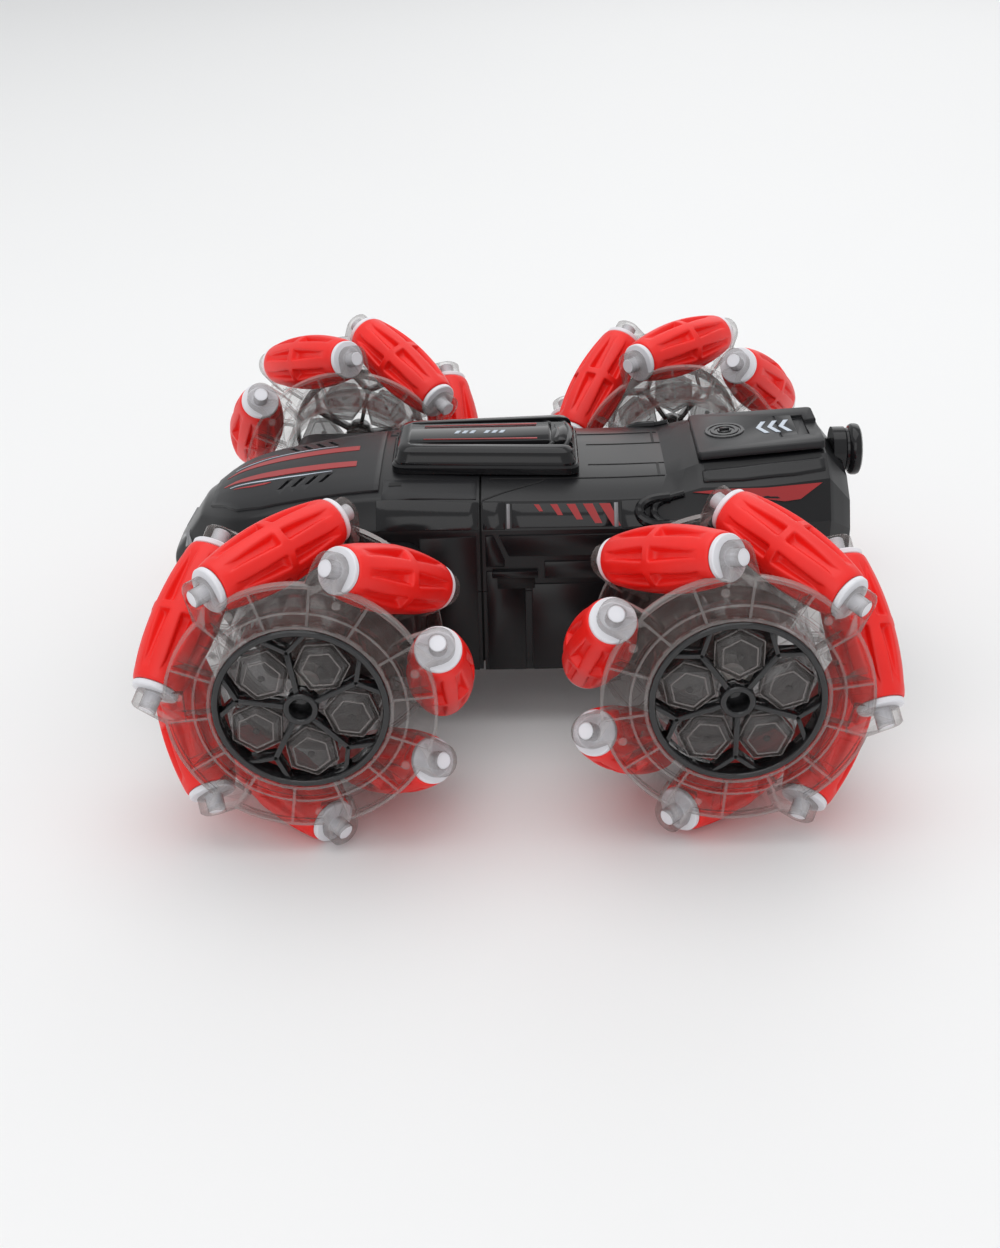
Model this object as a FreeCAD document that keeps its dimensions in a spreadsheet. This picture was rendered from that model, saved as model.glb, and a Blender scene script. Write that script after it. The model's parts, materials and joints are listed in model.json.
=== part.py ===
import FreeCAD, Part
import Sketcher
import math
import os
import re

# Stunt car on four mecanum wheels.
# Frame: +X forward, +Y to the car's left, +Z up, ground at z = 0,
# origin on the ground midway between the four wheels. Millimetres and degrees.

DIMENSIONS = {
    # wheels: two mirrored halves carry seven barrel rollers at 45 degrees
    "wheel_base": 120.0, "half_track": 86.4, "wheel_radius": 47.5,
    "roller_axis_radius": 37.7, "roller_tilt": 45.0, "pin_phase": 28.24,
    # one roller: rubber sleeve on a plastic core with a trunnion at each end
    "sleeve_mid_radius": 9.8, "sleeve_end_radius": 7.05, "sleeve_half": 21.5,
    "core_radius": 4.6, "collar_radius": 6.5, "collar_half": 23.4,
    "trunnion_radius": 2.5, "trunnion_half": 28.3,
    # hub halves: drum, flange and one ear for each roller end
    "drum_outer": 24.8, "drum_wall": 1.8, "spoke_width": 5.0, "spoke_depth": 3.0,
    "flange_near": 20.1, "flange_far": 21.5, "flange_outer": 38.2,
    "web_near": 4.0, "web_thick": 2.4, "hub_boss_radius": 6.5,
    "ear_radius": 4.8, "ear_near": 23.9, "ear_far": 28.3,
    "ear_web_inner": 33.0, "ear_web_outer": 40.6, "ear_web_width": 8.4,
    "ear_web_near": 16.5, "trunnion_gap": 0.1, "roller_gap": 0.45,
    "rib_thick": 1.0, "rib_inner": 24.0, "rib_outer": 31.0, "rib_near": 15.0,
    # hub cap: ring, five hexagonal domes and a centre boss
    "cap_outer": 24.6, "cap_ring_width": 2.2, "cap_near": 16.4, "cap_far": 22.6,
    "cap_floor": 18.0, "cap_fit_gap": 0.2, "cap_skirt": 22.7,
    "dome_flat": 13.4, "dome_centre": 14.2, "dome_height": 2.6, "cap_boss_radius": 4.8,
    # axle, driven gear and motor pinion
    "axle_radius": 3.0, "axle_gap": 0.08, "axle_inner": 40.5, "hex_flat": 5.0,
    "gear_module": 0.8, "gear_teeth": 36.0, "pinion_teeth": 12.0, "tooth_backlash": 0.16,
    "gear_addendum": 0.8, "pinion_addendum": 1.0,
    "centre_gap": 0.15, "gear_near": 49.0, "gear_width": 5.0, "pinion_near": 48.5,
    "pinion_width": 6.0, "shaft_radius": 1.0, "hub_screw_radius": 1.5, "hub_screw_head": 3.0,
    # motors and gearbox housings, one of each per wheel
    "motor_radius": 10.0, "motor_flat": 15.0, "motor_length": 25.0, "motor_face": 34.1,
    "motor_nose": 3.0, "housing_near": 36.0, "housing_far": 61.0, "housing_wall": 1.6,
    "housing_height": 35.0, "housing_back": 12.0, "housing_front": 18.0,
    # body shells
    "body_wall": 1.8, "split_height": 47.5, "belly_height": 18.0, "body_half": 36.0,
    "shoulder_half": 31.2, "shoulder_height": 75.6, "band_height": 68.0,
    "section_half": 19.5, "section_top": 85.2, "roof_height": 78.4,
    "nose_tip": 111.5, "nose_height": 49.0, "nose_half": 21.0, "tail_end": 104.0,
    "belly_front": 84.0, "belly_rear": 86.0, "hood_front": 97.0, "hood_height": 66.0,
    "tail_height": 82.0, "tail_half": 24.0, "shaft_hole": 4.0,
    # roof pod
    "pod_front": 39.0, "pod_rear": 20.0, "pod_front_half": 15.0, "pod_rear_half": 18.8,
    "pod_base": 78.6, "pod_top": 86.8, "pod_wall": 1.6, "pod_edge": 2.0,
    # rear deck plate and tail pipe
    "deck_front": 57.0, "deck_rear": 97.0, "deck_front_half": 18.0, "deck_rear_half": 16.2,
    "deck_base": 82.2, "deck_thick": 2.2, "deck_rise": 2.8, "filler_radius": 5.6,
    "pipe_end": 110.0, "pipe_height": 78.5, "pipe_outer": 6.5,
    "pipe_flange": 8.2, "pipe_flange_thick": 2.4, "pipe_bore": 4.4,
    # electronics and power
    "pack_length": 50.0, "pack_width": 30.0, "pack_height": 17.0, "pack_base": 20.6,
    "door_length": 58.0, "door_width": 38.0, "door_thick": 1.8, "door_gap": 0.25,
    "board_length": 62.0, "board_width": 42.0, "board_thick": 1.6, "board_height": 66.0,
    "switch_place": 46.0, "switch_length": 6.0, "switch_width": 4.0, "switch_height": 5.0,
    "switch_travel": 4.0, "switch_gap": 0.3,
    # screws that close the two shells
    "screw_radius": 1.5, "screw_head": 2.8, "screw_seat": 34.0, "screw_length": 22.0,
    "screw_head_height": 2.0, "screw_front": 76.0, "screw_rear": 74.0, "screw_side": 20.0,
}

CORNERS = {
    # name: (sign of X, sign of Y, hand of the rollers, phase of one roller's middle)
    "front_left": (1, 1, 1, 49.62),
    "rear_left": (-1, 1, -1, 117.85),
    "front_right": (1, -1, -1, 111.84),
    "rear_right": (-1, -1, 1, 89.92),
}
ROLLERS = 7
X_AXIS, Y_AXIS, Z_AXIS = FreeCAD.Vector(1, 0, 0), FreeCAD.Vector(0, 1, 0), FreeCAD.Vector(0, 0, 1)

doc = FreeCAD.newDocument("mecanum_stunt_car")
sheet = doc.addObject("Spreadsheet::Sheet", "Sizes")
for row, (word, value) in enumerate(DIMENSIONS.items(), start=1):
    sheet.set(f"A{row}", word)
    sheet.set(f"B{row}", str(value))
    sheet.setAlias(f"B{row}", word)
doc.recompute()


def size(word):
    """Value of one driving dimension."""
    return float(sheet.get(word))


def linked(text):
    """Point every dimension named in an expression at its cell of the sheet."""
    return re.sub("[a-z_]+", lambda word: "Sizes." * (word[0] in DIMENSIONS) + word[0], str(text))


def bind(obj, **expressions):
    for prop, text in expressions.items():
        obj.setExpression(prop, linked(text))
    return obj


def place(obj, at=(0, 0, 0), *turns):
    """Placement from a point and turns (axis, degrees), the first turn applied first."""
    rotation = FreeCAD.Rotation()
    for axis, angle in turns:
        rotation = FreeCAD.Rotation(axis, angle).multiply(rotation)
    obj.Placement = FreeCAD.Placement(FreeCAD.Vector(*at), rotation)
    return obj


def box(name, length, width, height, low):
    """Box with bound sizes; low is its lowest corner."""
    return place(bind(doc.addObject("Part::Box", name), Length=length, Width=width, Height=height), low)


def cylinder(name, radius, height, low=0.0):
    return place(bind(doc.addObject("Part::Cylinder", name), Radius=radius, Height=height), (0, 0, low))


def prism(name, flat, height, low=0.0):
    """Hexagonal bar, flat being its width across flats."""
    bar = bind(doc.addObject("Part::Prism", name), Circumradius=f"( {flat} ) / sqrt(3)", Height=height)
    return place(bar, (0, 0, low))


def fuse(name, parts):
    obj = doc.addObject("Part::MultiFuse", name)
    obj.Shapes = parts
    return obj


def common(name, parts):
    obj = doc.addObject("Part::MultiCommon", name)
    obj.Shapes = parts
    return obj


def cut(name, base, tool):
    obj = doc.addObject("Part::Cut", name)
    obj.Base, obj.Tool = base, tool
    return obj


def group(name, parts):
    """Several solids that share one node, or one set of tools."""
    obj = doc.addObject("Part::Compound", name)
    obj.Links = parts
    return obj


def mirrored(name, source, normal):
    obj = doc.addObject("Part::Mirroring", name)
    obj.Source, obj.Normal = source, normal
    return obj


def around(name, source, count, start=0.0):
    """Copies of a shape, turned about Z at equal steps."""
    copies = []
    for i in range(count):
        copy = group(f"{name}_{i}", [source])
        copies.append(place(copy, (0, 0, 0), (Z_AXIS, start + i * 360.0 / count)))
    return copies


def outline(sketch, points, arc=None):
    """Closed outline whose points are bound to the sheet. arc = (segment, radius) bulges one segment."""
    spots = [FreeCAD.Vector(value(u), value(v), 0) for u, v in points]
    for i, spot in enumerate(spots):
        after = spots[(i + 1) % len(spots)]
        edge = Part.LineSegment(spot, after)
        if arc and i == arc[0]:
            radius = value(arc[1])
            half = spot.distanceToPoint(after) / 2
            centre = (spot + after) / 2 - FreeCAD.Vector(0, math.sqrt(radius ** 2 - half ** 2), 0)
            edge = Part.Arc(spot, centre + FreeCAD.Vector(0, radius, 0), after)
        sketch.addGeometry(edge, False)
    # an arc runs counter-clockwise, so here it starts at its right-hand end
    ends = [(2, 1) if arc and i == arc[0] else (1, 2) for i in range(len(spots))]
    for i in range(len(spots)):
        j = (i + 1) % len(spots)
        sketch.addConstraint(Sketcher.Constraint("Coincident", i, ends[i][1], j, ends[j][0]))
    for i, spot in enumerate(points):
        for kind, text in zip(("DistanceX", "DistanceY"), spot):
            hold(sketch, Sketcher.Constraint(kind, -1, 1, i, ends[i][0], value(text)), text)
    if arc:
        hold(sketch, Sketcher.Constraint("Radius", arc[0], value(arc[1])), arc[1])
    return sketch


def hold(sketch, constraint, text):
    """Add a constraint and bind it to the sheet."""
    index = sketch.addConstraint(constraint)
    sketch.setExpression(f"Constraints[{index}]", linked(text))


def value(text):
    """Present value of an expression in the sheet's words."""
    return float(sheet.evalExpression(str(text)))


def mirrored_outline(points):
    """Points on the left, then the same points on the right in reverse order."""
    return points + [(u, f"- ( {v} )") for u, v in reversed(points)]


def origin_plane(body, role):
    return next(item for item in body.Origin.OriginFeatures if item.Role == role)


def turned(name, points, arc=None):
    """PartDesign body: a profile (along X, outward along Y) revolved about X."""
    body = doc.addObject("PartDesign::Body", name)
    sketch = body.newObject("Sketcher::SketchObject", name + "_profile")
    sketch.AttachmentSupport = (origin_plane(body, "XY_Plane"), [""])
    sketch.MapMode = "FlatFace"
    outline(sketch, points, arc)
    turn = body.newObject("PartDesign::Revolution", name + "_turn")
    turn.Profile = sketch
    turn.ReferenceAxis = (sketch, ["H_Axis"])
    turn.Angle = 360.0
    doc.recompute()
    return body


def padded(name, points, height):
    """PartDesign body: a plan outline padded upwards."""
    body = doc.addObject("PartDesign::Body", name)
    sketch = body.newObject("Sketcher::SketchObject", name + "_outline")
    sketch.AttachmentSupport = (origin_plane(body, "XY_Plane"), [""])
    sketch.MapMode = "FlatFace"
    outline(sketch, points)
    pad = body.newObject("PartDesign::Pad", name + "_pad")
    pad.Profile = sketch
    bind(pad, Length=height)
    doc.recompute()
    return body


def extruded(name, points, direction, turns):
    """Long prism on an outline, running both ways along a direction."""
    sketch = outline(doc.addObject("Sketcher::SketchObject", name + "_outline"), points)
    solid = doc.addObject("Part::Extrusion", name)
    solid.Base, solid.DirMode, solid.Dir = place(sketch, (0, 0, 0), *turns), "Custom", direction
    solid.Symmetric, solid.Solid, solid.LengthFwd = True, True, 300.0
    return solid


# ---------------------------------------------------------------- rollers

def barrel_radius(gap):
    """Radius of the arc through the sleeve's middle and its two ends."""
    rise = "( sleeve_mid_radius - sleeve_end_radius )"
    return f"( sleeve_half ^ 2 + {rise} ^ 2 ) / ( 2 * {rise} ) + {gap}"


def make_sleeve():
    """Rubber barrel whose surface stays on the wheel's rolling circle."""
    points = [("- ( sleeve_half )", "core_radius"), ("- ( sleeve_half )", "sleeve_end_radius"),
              ("sleeve_half", "sleeve_end_radius"), ("sleeve_half", "core_radius")]
    return turned("roller_sleeve", points, (1, barrel_radius("0")))


def make_core():
    """Plastic core with a collar at each end of the sleeve and a trunnion beyond it."""
    half = [("trunnion_half", "0"), ("trunnion_half", "trunnion_radius"),
            ("collar_half", "trunnion_radius"), ("collar_half", "collar_radius"),
            ("sleeve_half", "collar_radius"), ("sleeve_half", "core_radius")]
    return turned("roller_core", half + [(f"- ( {u} )", v) for u, v in reversed(half)])


def make_roller_space():
    """Everything that a turning roller needs clear of its wheel."""
    half = [("trunnion_half + roller_gap", "0"),
            ("trunnion_half + roller_gap", "trunnion_radius + trunnion_gap"),
            ("ear_near", "trunnion_radius + trunnion_gap"), ("ear_near", "collar_radius + roller_gap"),
            ("sleeve_half + roller_gap", "sleeve_end_radius + roller_gap")]
    points = half + [(f"- ( {u} )", v) for u, v in reversed(half)]
    return turned("roller_space", points[::-1], (len(half) - 1, barrel_radius("roller_gap")))


def roller_placement(index, hand=1):
    """Place of one roller in a wheel whose axis is Z; the hand is the side its rollers lean to."""
    tilt = FreeCAD.Rotation(X_AXIS, -hand * size("roller_tilt")).multiply(FreeCAD.Rotation(Y_AXIS, -90))
    lean = FreeCAD.Placement(FreeCAD.Vector(size("roller_axis_radius"), 0, 0), tilt)
    turn = FreeCAD.Rotation(Z_AXIS, index * 360.0 / ROLLERS)
    return FreeCAD.Placement(FreeCAD.Vector(), turn).multiply(lean)


# ---------------------------------------------------------------- wheel hubs

def make_ear():
    """Bearing ear on one roller's outboard end, with the web that carries it."""
    ear = bind(doc.addObject("Part::Cylinder", "ear"), Radius="ear_radius", Height="ear_far - ear_near")
    lean = FreeCAD.Rotation(X_AXIS, -size("roller_tilt"))
    along = lean.multVec(Z_AXIS) * size("ear_near")
    ear.Placement = FreeCAD.Placement(FreeCAD.Vector(size("roller_axis_radius"), 0, 0) + along, lean)
    low = (size("ear_web_inner"), -size("ear_web_width") / 2, size("ear_web_near"))
    web = box("ear_web", "ear_web_outer - ear_web_inner", "ear_web_width", "flange_far - ear_web_near", low)
    web_turn = place(group("ear_web_turned", [web]), (0, 0, 0), (Z_AXIS, size("pin_phase")))
    return fuse("ear_with_web", [ear, web_turn])


def ring(name, outer, inner, low, high):
    """Flat ring or tube about Z between two heights, all given as expressions."""
    solid = cylinder(name + "_outside", outer, f"{high} - ( {low} )", value(low))
    hole = cylinder(name + "_inside", inner, f"{high} - ( {low} ) + 2", value(low) - 1)
    return cut(name, solid, hole)


def make_ear_ring():
    """Flange with seven ears and stiffening ribs, cut clear of all the rollers."""
    flange = ring("flange", "flange_outer", "drum_outer - drum_wall", "flange_near", "flange_far")
    low = (size("rib_inner"), -size("rib_thick") / 2, size("rib_near"))
    rib = box("flange_rib", "rib_outer - rib_inner", "rib_thick", "flange_far - rib_near", low)
    ears, ribs = around("ear", make_ear(), ROLLERS), around("rib", rib, 2 * ROLLERS)
    solid = fuse("ear_ring_blank", [flange] + ears + ribs)
    space = make_roller_space()
    spaces = []
    for i in range(ROLLERS):
        copy = group(f"roller_space_{i}", [space])
        copy.Placement = roller_placement(i)
        spaces.append(copy)
    return cut("ear_ring", solid, group("roller_spaces", spaces))


def make_outer_half(ear_ring):
    """Outboard half: ear ring, drum, web and the boss that takes the axle's hexagon."""
    drum = ring("outer_drum", "drum_outer", "drum_outer - drum_wall", "0", "flange_near + 0.5")
    web = cylinder("outer_web", "drum_outer - drum_wall / 2", "web_thick", size("web_near"))
    boss = cylinder("outer_boss", "hub_boss_radius", "web_near + web_thick", 0.0)
    solid = fuse("hub_outer_blank", [ear_ring, drum, web, boss])
    return cut("hub_outer_half", solid, prism("outer_hexagon", "hex_flat + 2 * cap_fit_gap", "20", -1.0))


def make_inner_half(ear_ring):
    """Inboard half: the ear ring turned over, drum, five spokes and a boss."""
    turned_ring = place(group("inner_ear_ring", [ear_ring]), (0, 0, 0), (X_AXIS, 180))
    drum = ring("inner_drum", "drum_outer", "drum_outer - drum_wall", "- ( flange_near + 0.5 )", "0")
    low = (0, -size("spoke_width") / 2, -size("flange_far"))
    spoke = box("spoke", "drum_outer - drum_wall / 2", "spoke_width", "spoke_depth", low)
    boss = cylinder("inner_boss", "hub_boss_radius", "flange_far", -size("flange_far"))
    solid = fuse("hub_inner_blank", [turned_ring, drum, boss] + around("spoke", spoke, 5))
    hexagon = prism("inner_hexagon", "hex_flat + 2 * cap_fit_gap", "30", -size("flange_far") - 1.0)
    return cut("hub_inner_half", solid, hexagon)


def make_cap():
    """Hub cap: rim, skirt, floor, five hexagonal domes and a recessed centre boss."""
    rim = ring("cap_rim", "cap_outer", "cap_outer - cap_ring_width", "flange_far", "cap_far")
    skirt = ring("cap_skirt_tube", "cap_skirt", "cap_outer - cap_ring_width", "cap_near", "cap_far")
    floor = cylinder("cap_floor_disc", "cap_skirt - 0.1", "1.2", size("cap_floor"))
    dome = place(prism("dome", "dome_flat", "dome_height"), (size("dome_centre"), 0, size("cap_floor") + 1.0))
    boss = ring("cap_boss", "cap_boss_radius", "cap_boss_radius - 1.4", "cap_floor", "cap_far - 0.6")
    return fuse("cap_solid", [rim, skirt, floor, boss] + around("dome", dome, 5))


# ---------------------------------------------------------------- gears

def involute_angle(base, radius):
    """Angle that an involute has turned through at a radius."""
    if radius <= base:
        return 0.0
    pressure = math.acos(base / radius)
    return math.tan(pressure) - pressure


def gear_outline(teeth, addendum):
    """Closed wire of a spur gear with a tooth centred on +X."""
    module, backlash, pressure = size("gear_module"), size("tooth_backlash"), math.radians(20)
    pitch = module * teeth / 2
    base, root, tip = pitch * math.cos(pressure), pitch - 1.25 * module, pitch + addendum * module
    half_pitch = math.pi / (2 * teeth) - backlash / (2 * pitch) + involute_angle(base, pitch)
    flank_start = max(base, root)
    radii = [root] + [flank_start + (tip - flank_start) * i / 4 for i in range(5)]
    points = []
    for tooth in range(teeth):
        centre = 2 * math.pi * tooth / teeth
        sides = [(r, half_pitch - involute_angle(base, r)) for r in radii]
        for r, angle in [(r, -a) for r, a in sides] + sides[::-1]:
            points.append(FreeCAD.Vector(r * math.cos(centre + angle), r * math.sin(centre + angle), 0))
    return Part.makePolygon(points + points[:1])


def gear(name, teeth, addendum, low, width):
    """Toothed wheel; its flanks follow a formula, so its shape is set here."""
    obj = doc.addObject("Part::Feature", name)
    face = Part.Face(gear_outline(int(size(teeth)), size(addendum)))
    obj.Shape = face.extrude(FreeCAD.Vector(0, 0, size(width)))
    return place(obj, (0, 0, low))


def axle_height(y):
    """Distance along the axle from the wheel's middle to a plane |Y| = y."""
    return y - size("half_track")


def make_axle():
    """Axle with its driven gear, hexagonal wheel seat and the screw that holds the wheel."""
    inner = axle_height(size("axle_inner"))
    seat = -size("flange_far") - 1.0
    shaft = cylinder("axle_shaft", "axle_radius", seat - inner, inner)
    collar = cylinder("axle_collar", "axle_radius + 2", "1.0", axle_height(size("gear_near")) - 1.0)
    near = axle_height(size("gear_near"))
    teeth = gear("axle_gear_teeth", "gear_teeth", "gear_addendum", near, "gear_width")
    seat_bar = prism("axle_hexagon", "hex_flat", f"{size('web_near')} - ( {seat} )", seat)
    solid = fuse("axle_blank", [shaft, collar, teeth, seat_bar])
    bore = cylinder("axle_screw_hole", "hub_screw_radius", "10", size("web_near") - 9.0)
    shank = cylinder("hub_screw_shank", "hub_screw_radius", "10", size("web_near") - 8.0)
    seat = size("web_near") + size("web_thick")
    washer = cylinder("hub_screw_head_disc", "hub_screw_head + 0.8", "2.4", seat)
    neck = cylinder("hub_screw_neck", "hub_screw_radius", "web_thick + 0.5", size("web_near") - 0.2)
    return group("axle_and_screw", [cut("axle_solid", solid, bore), fuse("hub_screw", [shank, neck, washer])])


def make_pinion():
    """Motor shaft with its pinion."""
    low = axle_height(size("pinion_near"))
    teeth = gear("pinion_teeth_solid", "pinion_teeth", "pinion_addendum", low, "pinion_width")
    low = axle_height(size("motor_face") - 5.0)
    high = axle_height(size("pinion_near") + size("pinion_width") + 1.0)
    return fuse("pinion_solid", [teeth, cylinder("motor_shaft", "shaft_radius", high - low, low)])


def gear_spacing():
    return size("gear_module") * (size("gear_teeth") + size("pinion_teeth")) / 2 + size("centre_gap")


# ---------------------------------------------------------------- motors and housings

def make_motor():
    """Can motor along Z with two flats, a front boss and a clear shaft hole."""
    face = axle_height(size("motor_face"))
    can = cylinder("motor_can", "motor_radius", "motor_length", face - size("motor_length"))
    low = (-size("motor_radius"), -size("motor_flat") / 2, face - size("motor_length"))
    flats = box("motor_flats", "2 * motor_radius", "motor_flat", "motor_length", low)
    nose = cylinder("motor_front_boss", "motor_nose", "1.6", face)
    hole = cylinder("motor_shaft_hole", "shaft_radius + axle_gap", "8", face - 6.0)
    return cut("motor", fuse("motor_blank", [common("motor_body", [can, flats]), nose]), hole)


def make_housing(sign):
    """Gear case on the body's side; sign is +1 when the motor lies behind the axle (-X)."""
    near, far, wall = (size(word) for word in ("housing_near", "housing_far", "housing_wall"))
    length = gear_spacing() + size("housing_front") + size("housing_back")
    start = -gear_spacing() - size("housing_back") if sign > 0 else -size("housing_front")
    height = size("housing_height")
    name = "housing_front" if sign > 0 else "housing_rear"
    low = (start, -height / 2, axle_height(near))
    solid = box(name + "_case", length, "housing_height", "housing_far - housing_near", low)
    low = (start + wall, -height / 2 + wall, axle_height(near) + wall)
    room = box(name + "_room", length - 2 * wall, "housing_height - 2 * housing_wall",
               "housing_far - housing_near - 2 * housing_wall", low)
    axle_hole = cylinder(name + "_axle_hole", "axle_radius + axle_gap", "housing_far - axle_inner + 5",
                         axle_height(size("axle_inner")))
    bush = cylinder(name + "_bush", "axle_radius + 1.6", "3.0", axle_height(near) + wall)
    shaft_hole = cylinder(name + "_shaft_hole", "motor_nose + 0.2", "housing_wall + 2", axle_height(near) - 1)
    shaft_hole.Placement.Base.x = -sign * gear_spacing()
    hollow = fuse(name + "_walls", [cut(name + "_shell", solid, room), bush])
    return cut(name + "_half", hollow, group(name + "_holes", [axle_hole, shaft_hole]))


# ---------------------------------------------------------------- body shells

def body_solid(name, inset):
    """Faceted body: a side view, a plan and a cross-section, all set in by the same wall."""
    t = inset
    side = [(f"nose_tip - {t}", f"nose_height - {t}"), (f"nose_tip - {t}", f"nose_height + 6 - {t}"),
            (f"hood_front - {t}", f"hood_height - {t}"), (f"pod_front - {t}", f"roof_height - {t}"),
            ("- 48", f"roof_height - {t}"), (f"- ( deck_front - {t} )", f"deck_base - {t}"),
            (f"- ( deck_rear - {t} )", f"deck_base + deck_rise - {t}"),
            (f"- ( tail_end - {t} )", f"tail_height - {t}"), (f"- ( tail_end - {t} )", f"nose_height + {t}"),
            (f"- ( belly_rear - {t} )", f"belly_height + {t}"), (f"belly_front - {t}", f"belly_height + {t}")]
    plan = [(f"nose_tip - {t} + 1", f"nose_half - {t}"), (f"belly_front - {t}", f"body_half - {t}"),
            (f"- ( belly_rear - {t} )", f"body_half - {t}"),
            (f"- ( tail_end - {t} ) - 1", f"tail_half - {t}")]
    section = [(f"belly_height + {t} - 1", f"body_half - {t} - 3"),
               (f"belly_height + {t} + 5", f"body_half - {t}"),
               (f"band_height - {t}", f"body_half - {t}"), (f"shoulder_height - {t}", f"shoulder_half - {t}"),
               (f"section_top - {t}", f"section_half - {t}")]
    across = extruded(name + "_side", side, Y_AXIS, [(X_AXIS, 90)])
    upright = extruded(name + "_plan", mirrored_outline(plan), Z_AXIS, [])
    along = extruded(name + "_section", mirrored_outline(section), X_AXIS, [(Y_AXIS, -90)])
    return common(name, [across, upright, along])


def half_space(name, low, high):
    """Big block between two heights, used to split the body."""
    return box(name, "300", "200", f"{high} - ( {low} )", (-150, -100, value(low)))


def upright_posts(name, radius, low, high, places):
    """Equal cylinders standing at several places."""
    posts = []
    for i, (x, y) in enumerate(places):
        post = cylinder(f"{name}_{i}", radius, f"{high} - ( {low} )")
        posts.append(place(post, (x, y, value(low))))
    return posts


def screw_places():
    side = size("screw_side")
    return [(x, y) for x in (size("screw_front"), -size("screw_rear")) for y in (side, -side)]


def board_post_places():
    x, y = size("board_length") / 2 - 4, size("board_width") / 2 - 4
    return [(sx * x, sy * y) for sx in (1, -1) for sy in (1, -1)]


def make_shells():
    """Upper and lower shell, split at one height, with bosses, holes and bays."""
    outside, inside = body_solid("body_outside", "0"), body_solid("body_inside", "body_wall")
    walls = cut("body_walls", outside, inside)
    top = half_space("upper_side", "split_height", "split_height + 60")
    bottom = half_space("lower_side", "split_height - 60", "split_height")
    bosses = upright_posts("screw_boss", "screw_head + 1.2", "belly_height", "belly_height + 75",
                           screw_places())
    boss_body = common("screw_bosses", [outside, group("screw_boss_posts", bosses)])
    posts = upright_posts("board_post", "2", "board_height + board_thick", "roof_height - 0.5",
                          board_post_places())
    full = fuse("body_with_bosses", [walls, boss_body])
    holes = upright_posts("screw_hole", "screw_radius", "screw_seat", "screw_seat + screw_length",
                          screw_places())
    heads = upright_posts("screw_head_hole", "screw_head + 0.1", "belly_height - 1", "screw_seat",
                          screw_places())
    spacing = size("wheel_base") / 2 - gear_spacing()
    shaft_holes = []
    for i, (sx, sy) in enumerate([(1, 1), (-1, 1), (1, -1), (-1, -1)]):
        hole = cylinder(f"shaft_hole_{i}", "shaft_hole", "6")
        place(hole, (sx * spacing, sy * (size("body_half") + 2), size("wheel_radius")), (X_AXIS, 90 * sy))
        shaft_holes.append(hole)
    doorway = box("doorway", "door_length + 2 * door_gap", "door_width + 2 * door_gap", "body_wall + 2",
                  (-size("door_length") / 2 - size("door_gap"), -size("door_width") / 2 - size("door_gap"),
                   size("belly_height") - 1))
    travel = size("switch_travel") + 2 * size("switch_gap")
    slot_low = (size("switch_place") - size("switch_length") / 2 - travel / 2,
                -size("switch_width") / 2 - size("switch_gap"), size("belly_height") - 1)
    slot = box("switch_slot", "switch_length + switch_travel + 2 * switch_gap",
               "switch_width + 2 * switch_gap", "body_wall + 2", slot_low)
    tools = group("shell_holes", holes + heads + shaft_holes + [doorway, slot])
    drilled = cut("body_drilled", full, tools)
    upper = fuse("upper_with_posts", [common("upper_part", [drilled, top])] + posts)
    return upper, common("lower_part", [drilled, bottom])


def make_pod():
    """Roof pod: a tapered hollow cover with bevelled top edges."""
    plan = [("pod_front", "pod_front_half"), ("- ( pod_rear )", "pod_rear_half")]
    body = padded("pod_cover", mirrored_outline(plan), "pod_top - pod_base")
    bevel = body.newObject("PartDesign::Chamfer", "pod_bevel")
    pad = doc.getObject("pod_cover_pad")
    top = size("pod_top") - size("pod_base")
    names = [f"Edge{i}" for i, edge in enumerate(pad.Shape.Edges, start=1)
             if all(corner.Z > top - 0.01 for corner in edge.Vertexes)]
    bevel.Base = (pad, names)
    bind(bevel, Size="pod_edge")
    doc.recompute()
    sketch = body.newObject("Sketcher::SketchObject", "pod_room_outline")
    sketch.AttachmentSupport = (origin_plane(body, "XY_Plane"), [""])
    sketch.MapMode = "FlatFace"
    room = [("pod_front - 2 * pod_wall", "pod_front_half - 2 * pod_wall"),
            ("- ( pod_rear - 2 * pod_wall )", "pod_rear_half - 2 * pod_wall")]
    outline(sketch, mirrored_outline(room))
    pocket = body.newObject("PartDesign::Pocket", "pod_room")
    pocket.Profile, pocket.Reversed = sketch, True
    bind(pocket, Length="pod_top - pod_base - pod_wall")
    doc.recompute()
    return place(body, (0, 0, size("pod_base")))


def make_deck():
    """Sloping rear deck plate with a low filler cap."""
    plan = [("0", "deck_front_half"), ("- ( deck_rear - deck_front )", "deck_rear_half")]
    plate = padded("deck_plate", mirrored_outline(plan), "deck_thick")
    filler = place(cylinder("deck_filler", "filler_radius", "deck_thick + 0.8"), (-10, 0, 0))
    slope = math.degrees(math.atan2(size("deck_rise"), size("deck_rear") - size("deck_front")))
    at = (-size("deck_front"), 0, size("deck_base"))
    return place(fuse("deck_solid", [plate, filler]), at, (Y_AXIS, slope))


def make_pipe():
    """Tail pipe with a flange, open at its rear end."""
    half = [("0", "pipe_bore"), ("0", "pipe_flange"), ("pipe_flange_thick", "pipe_flange"),
            ("pipe_flange_thick", "pipe_outer"), ("pipe_end - tail_end", "pipe_outer"),
            ("pipe_end - tail_end", "0"), ("pipe_end - tail_end - 1.2", "0"),
            ("pipe_end - tail_end - 1.2", "pipe_bore")]
    return place(turned("pipe", half), (-size("pipe_end"), 0, size("pipe_height")))


# ---------------------------------------------------------------- electronics

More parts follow.
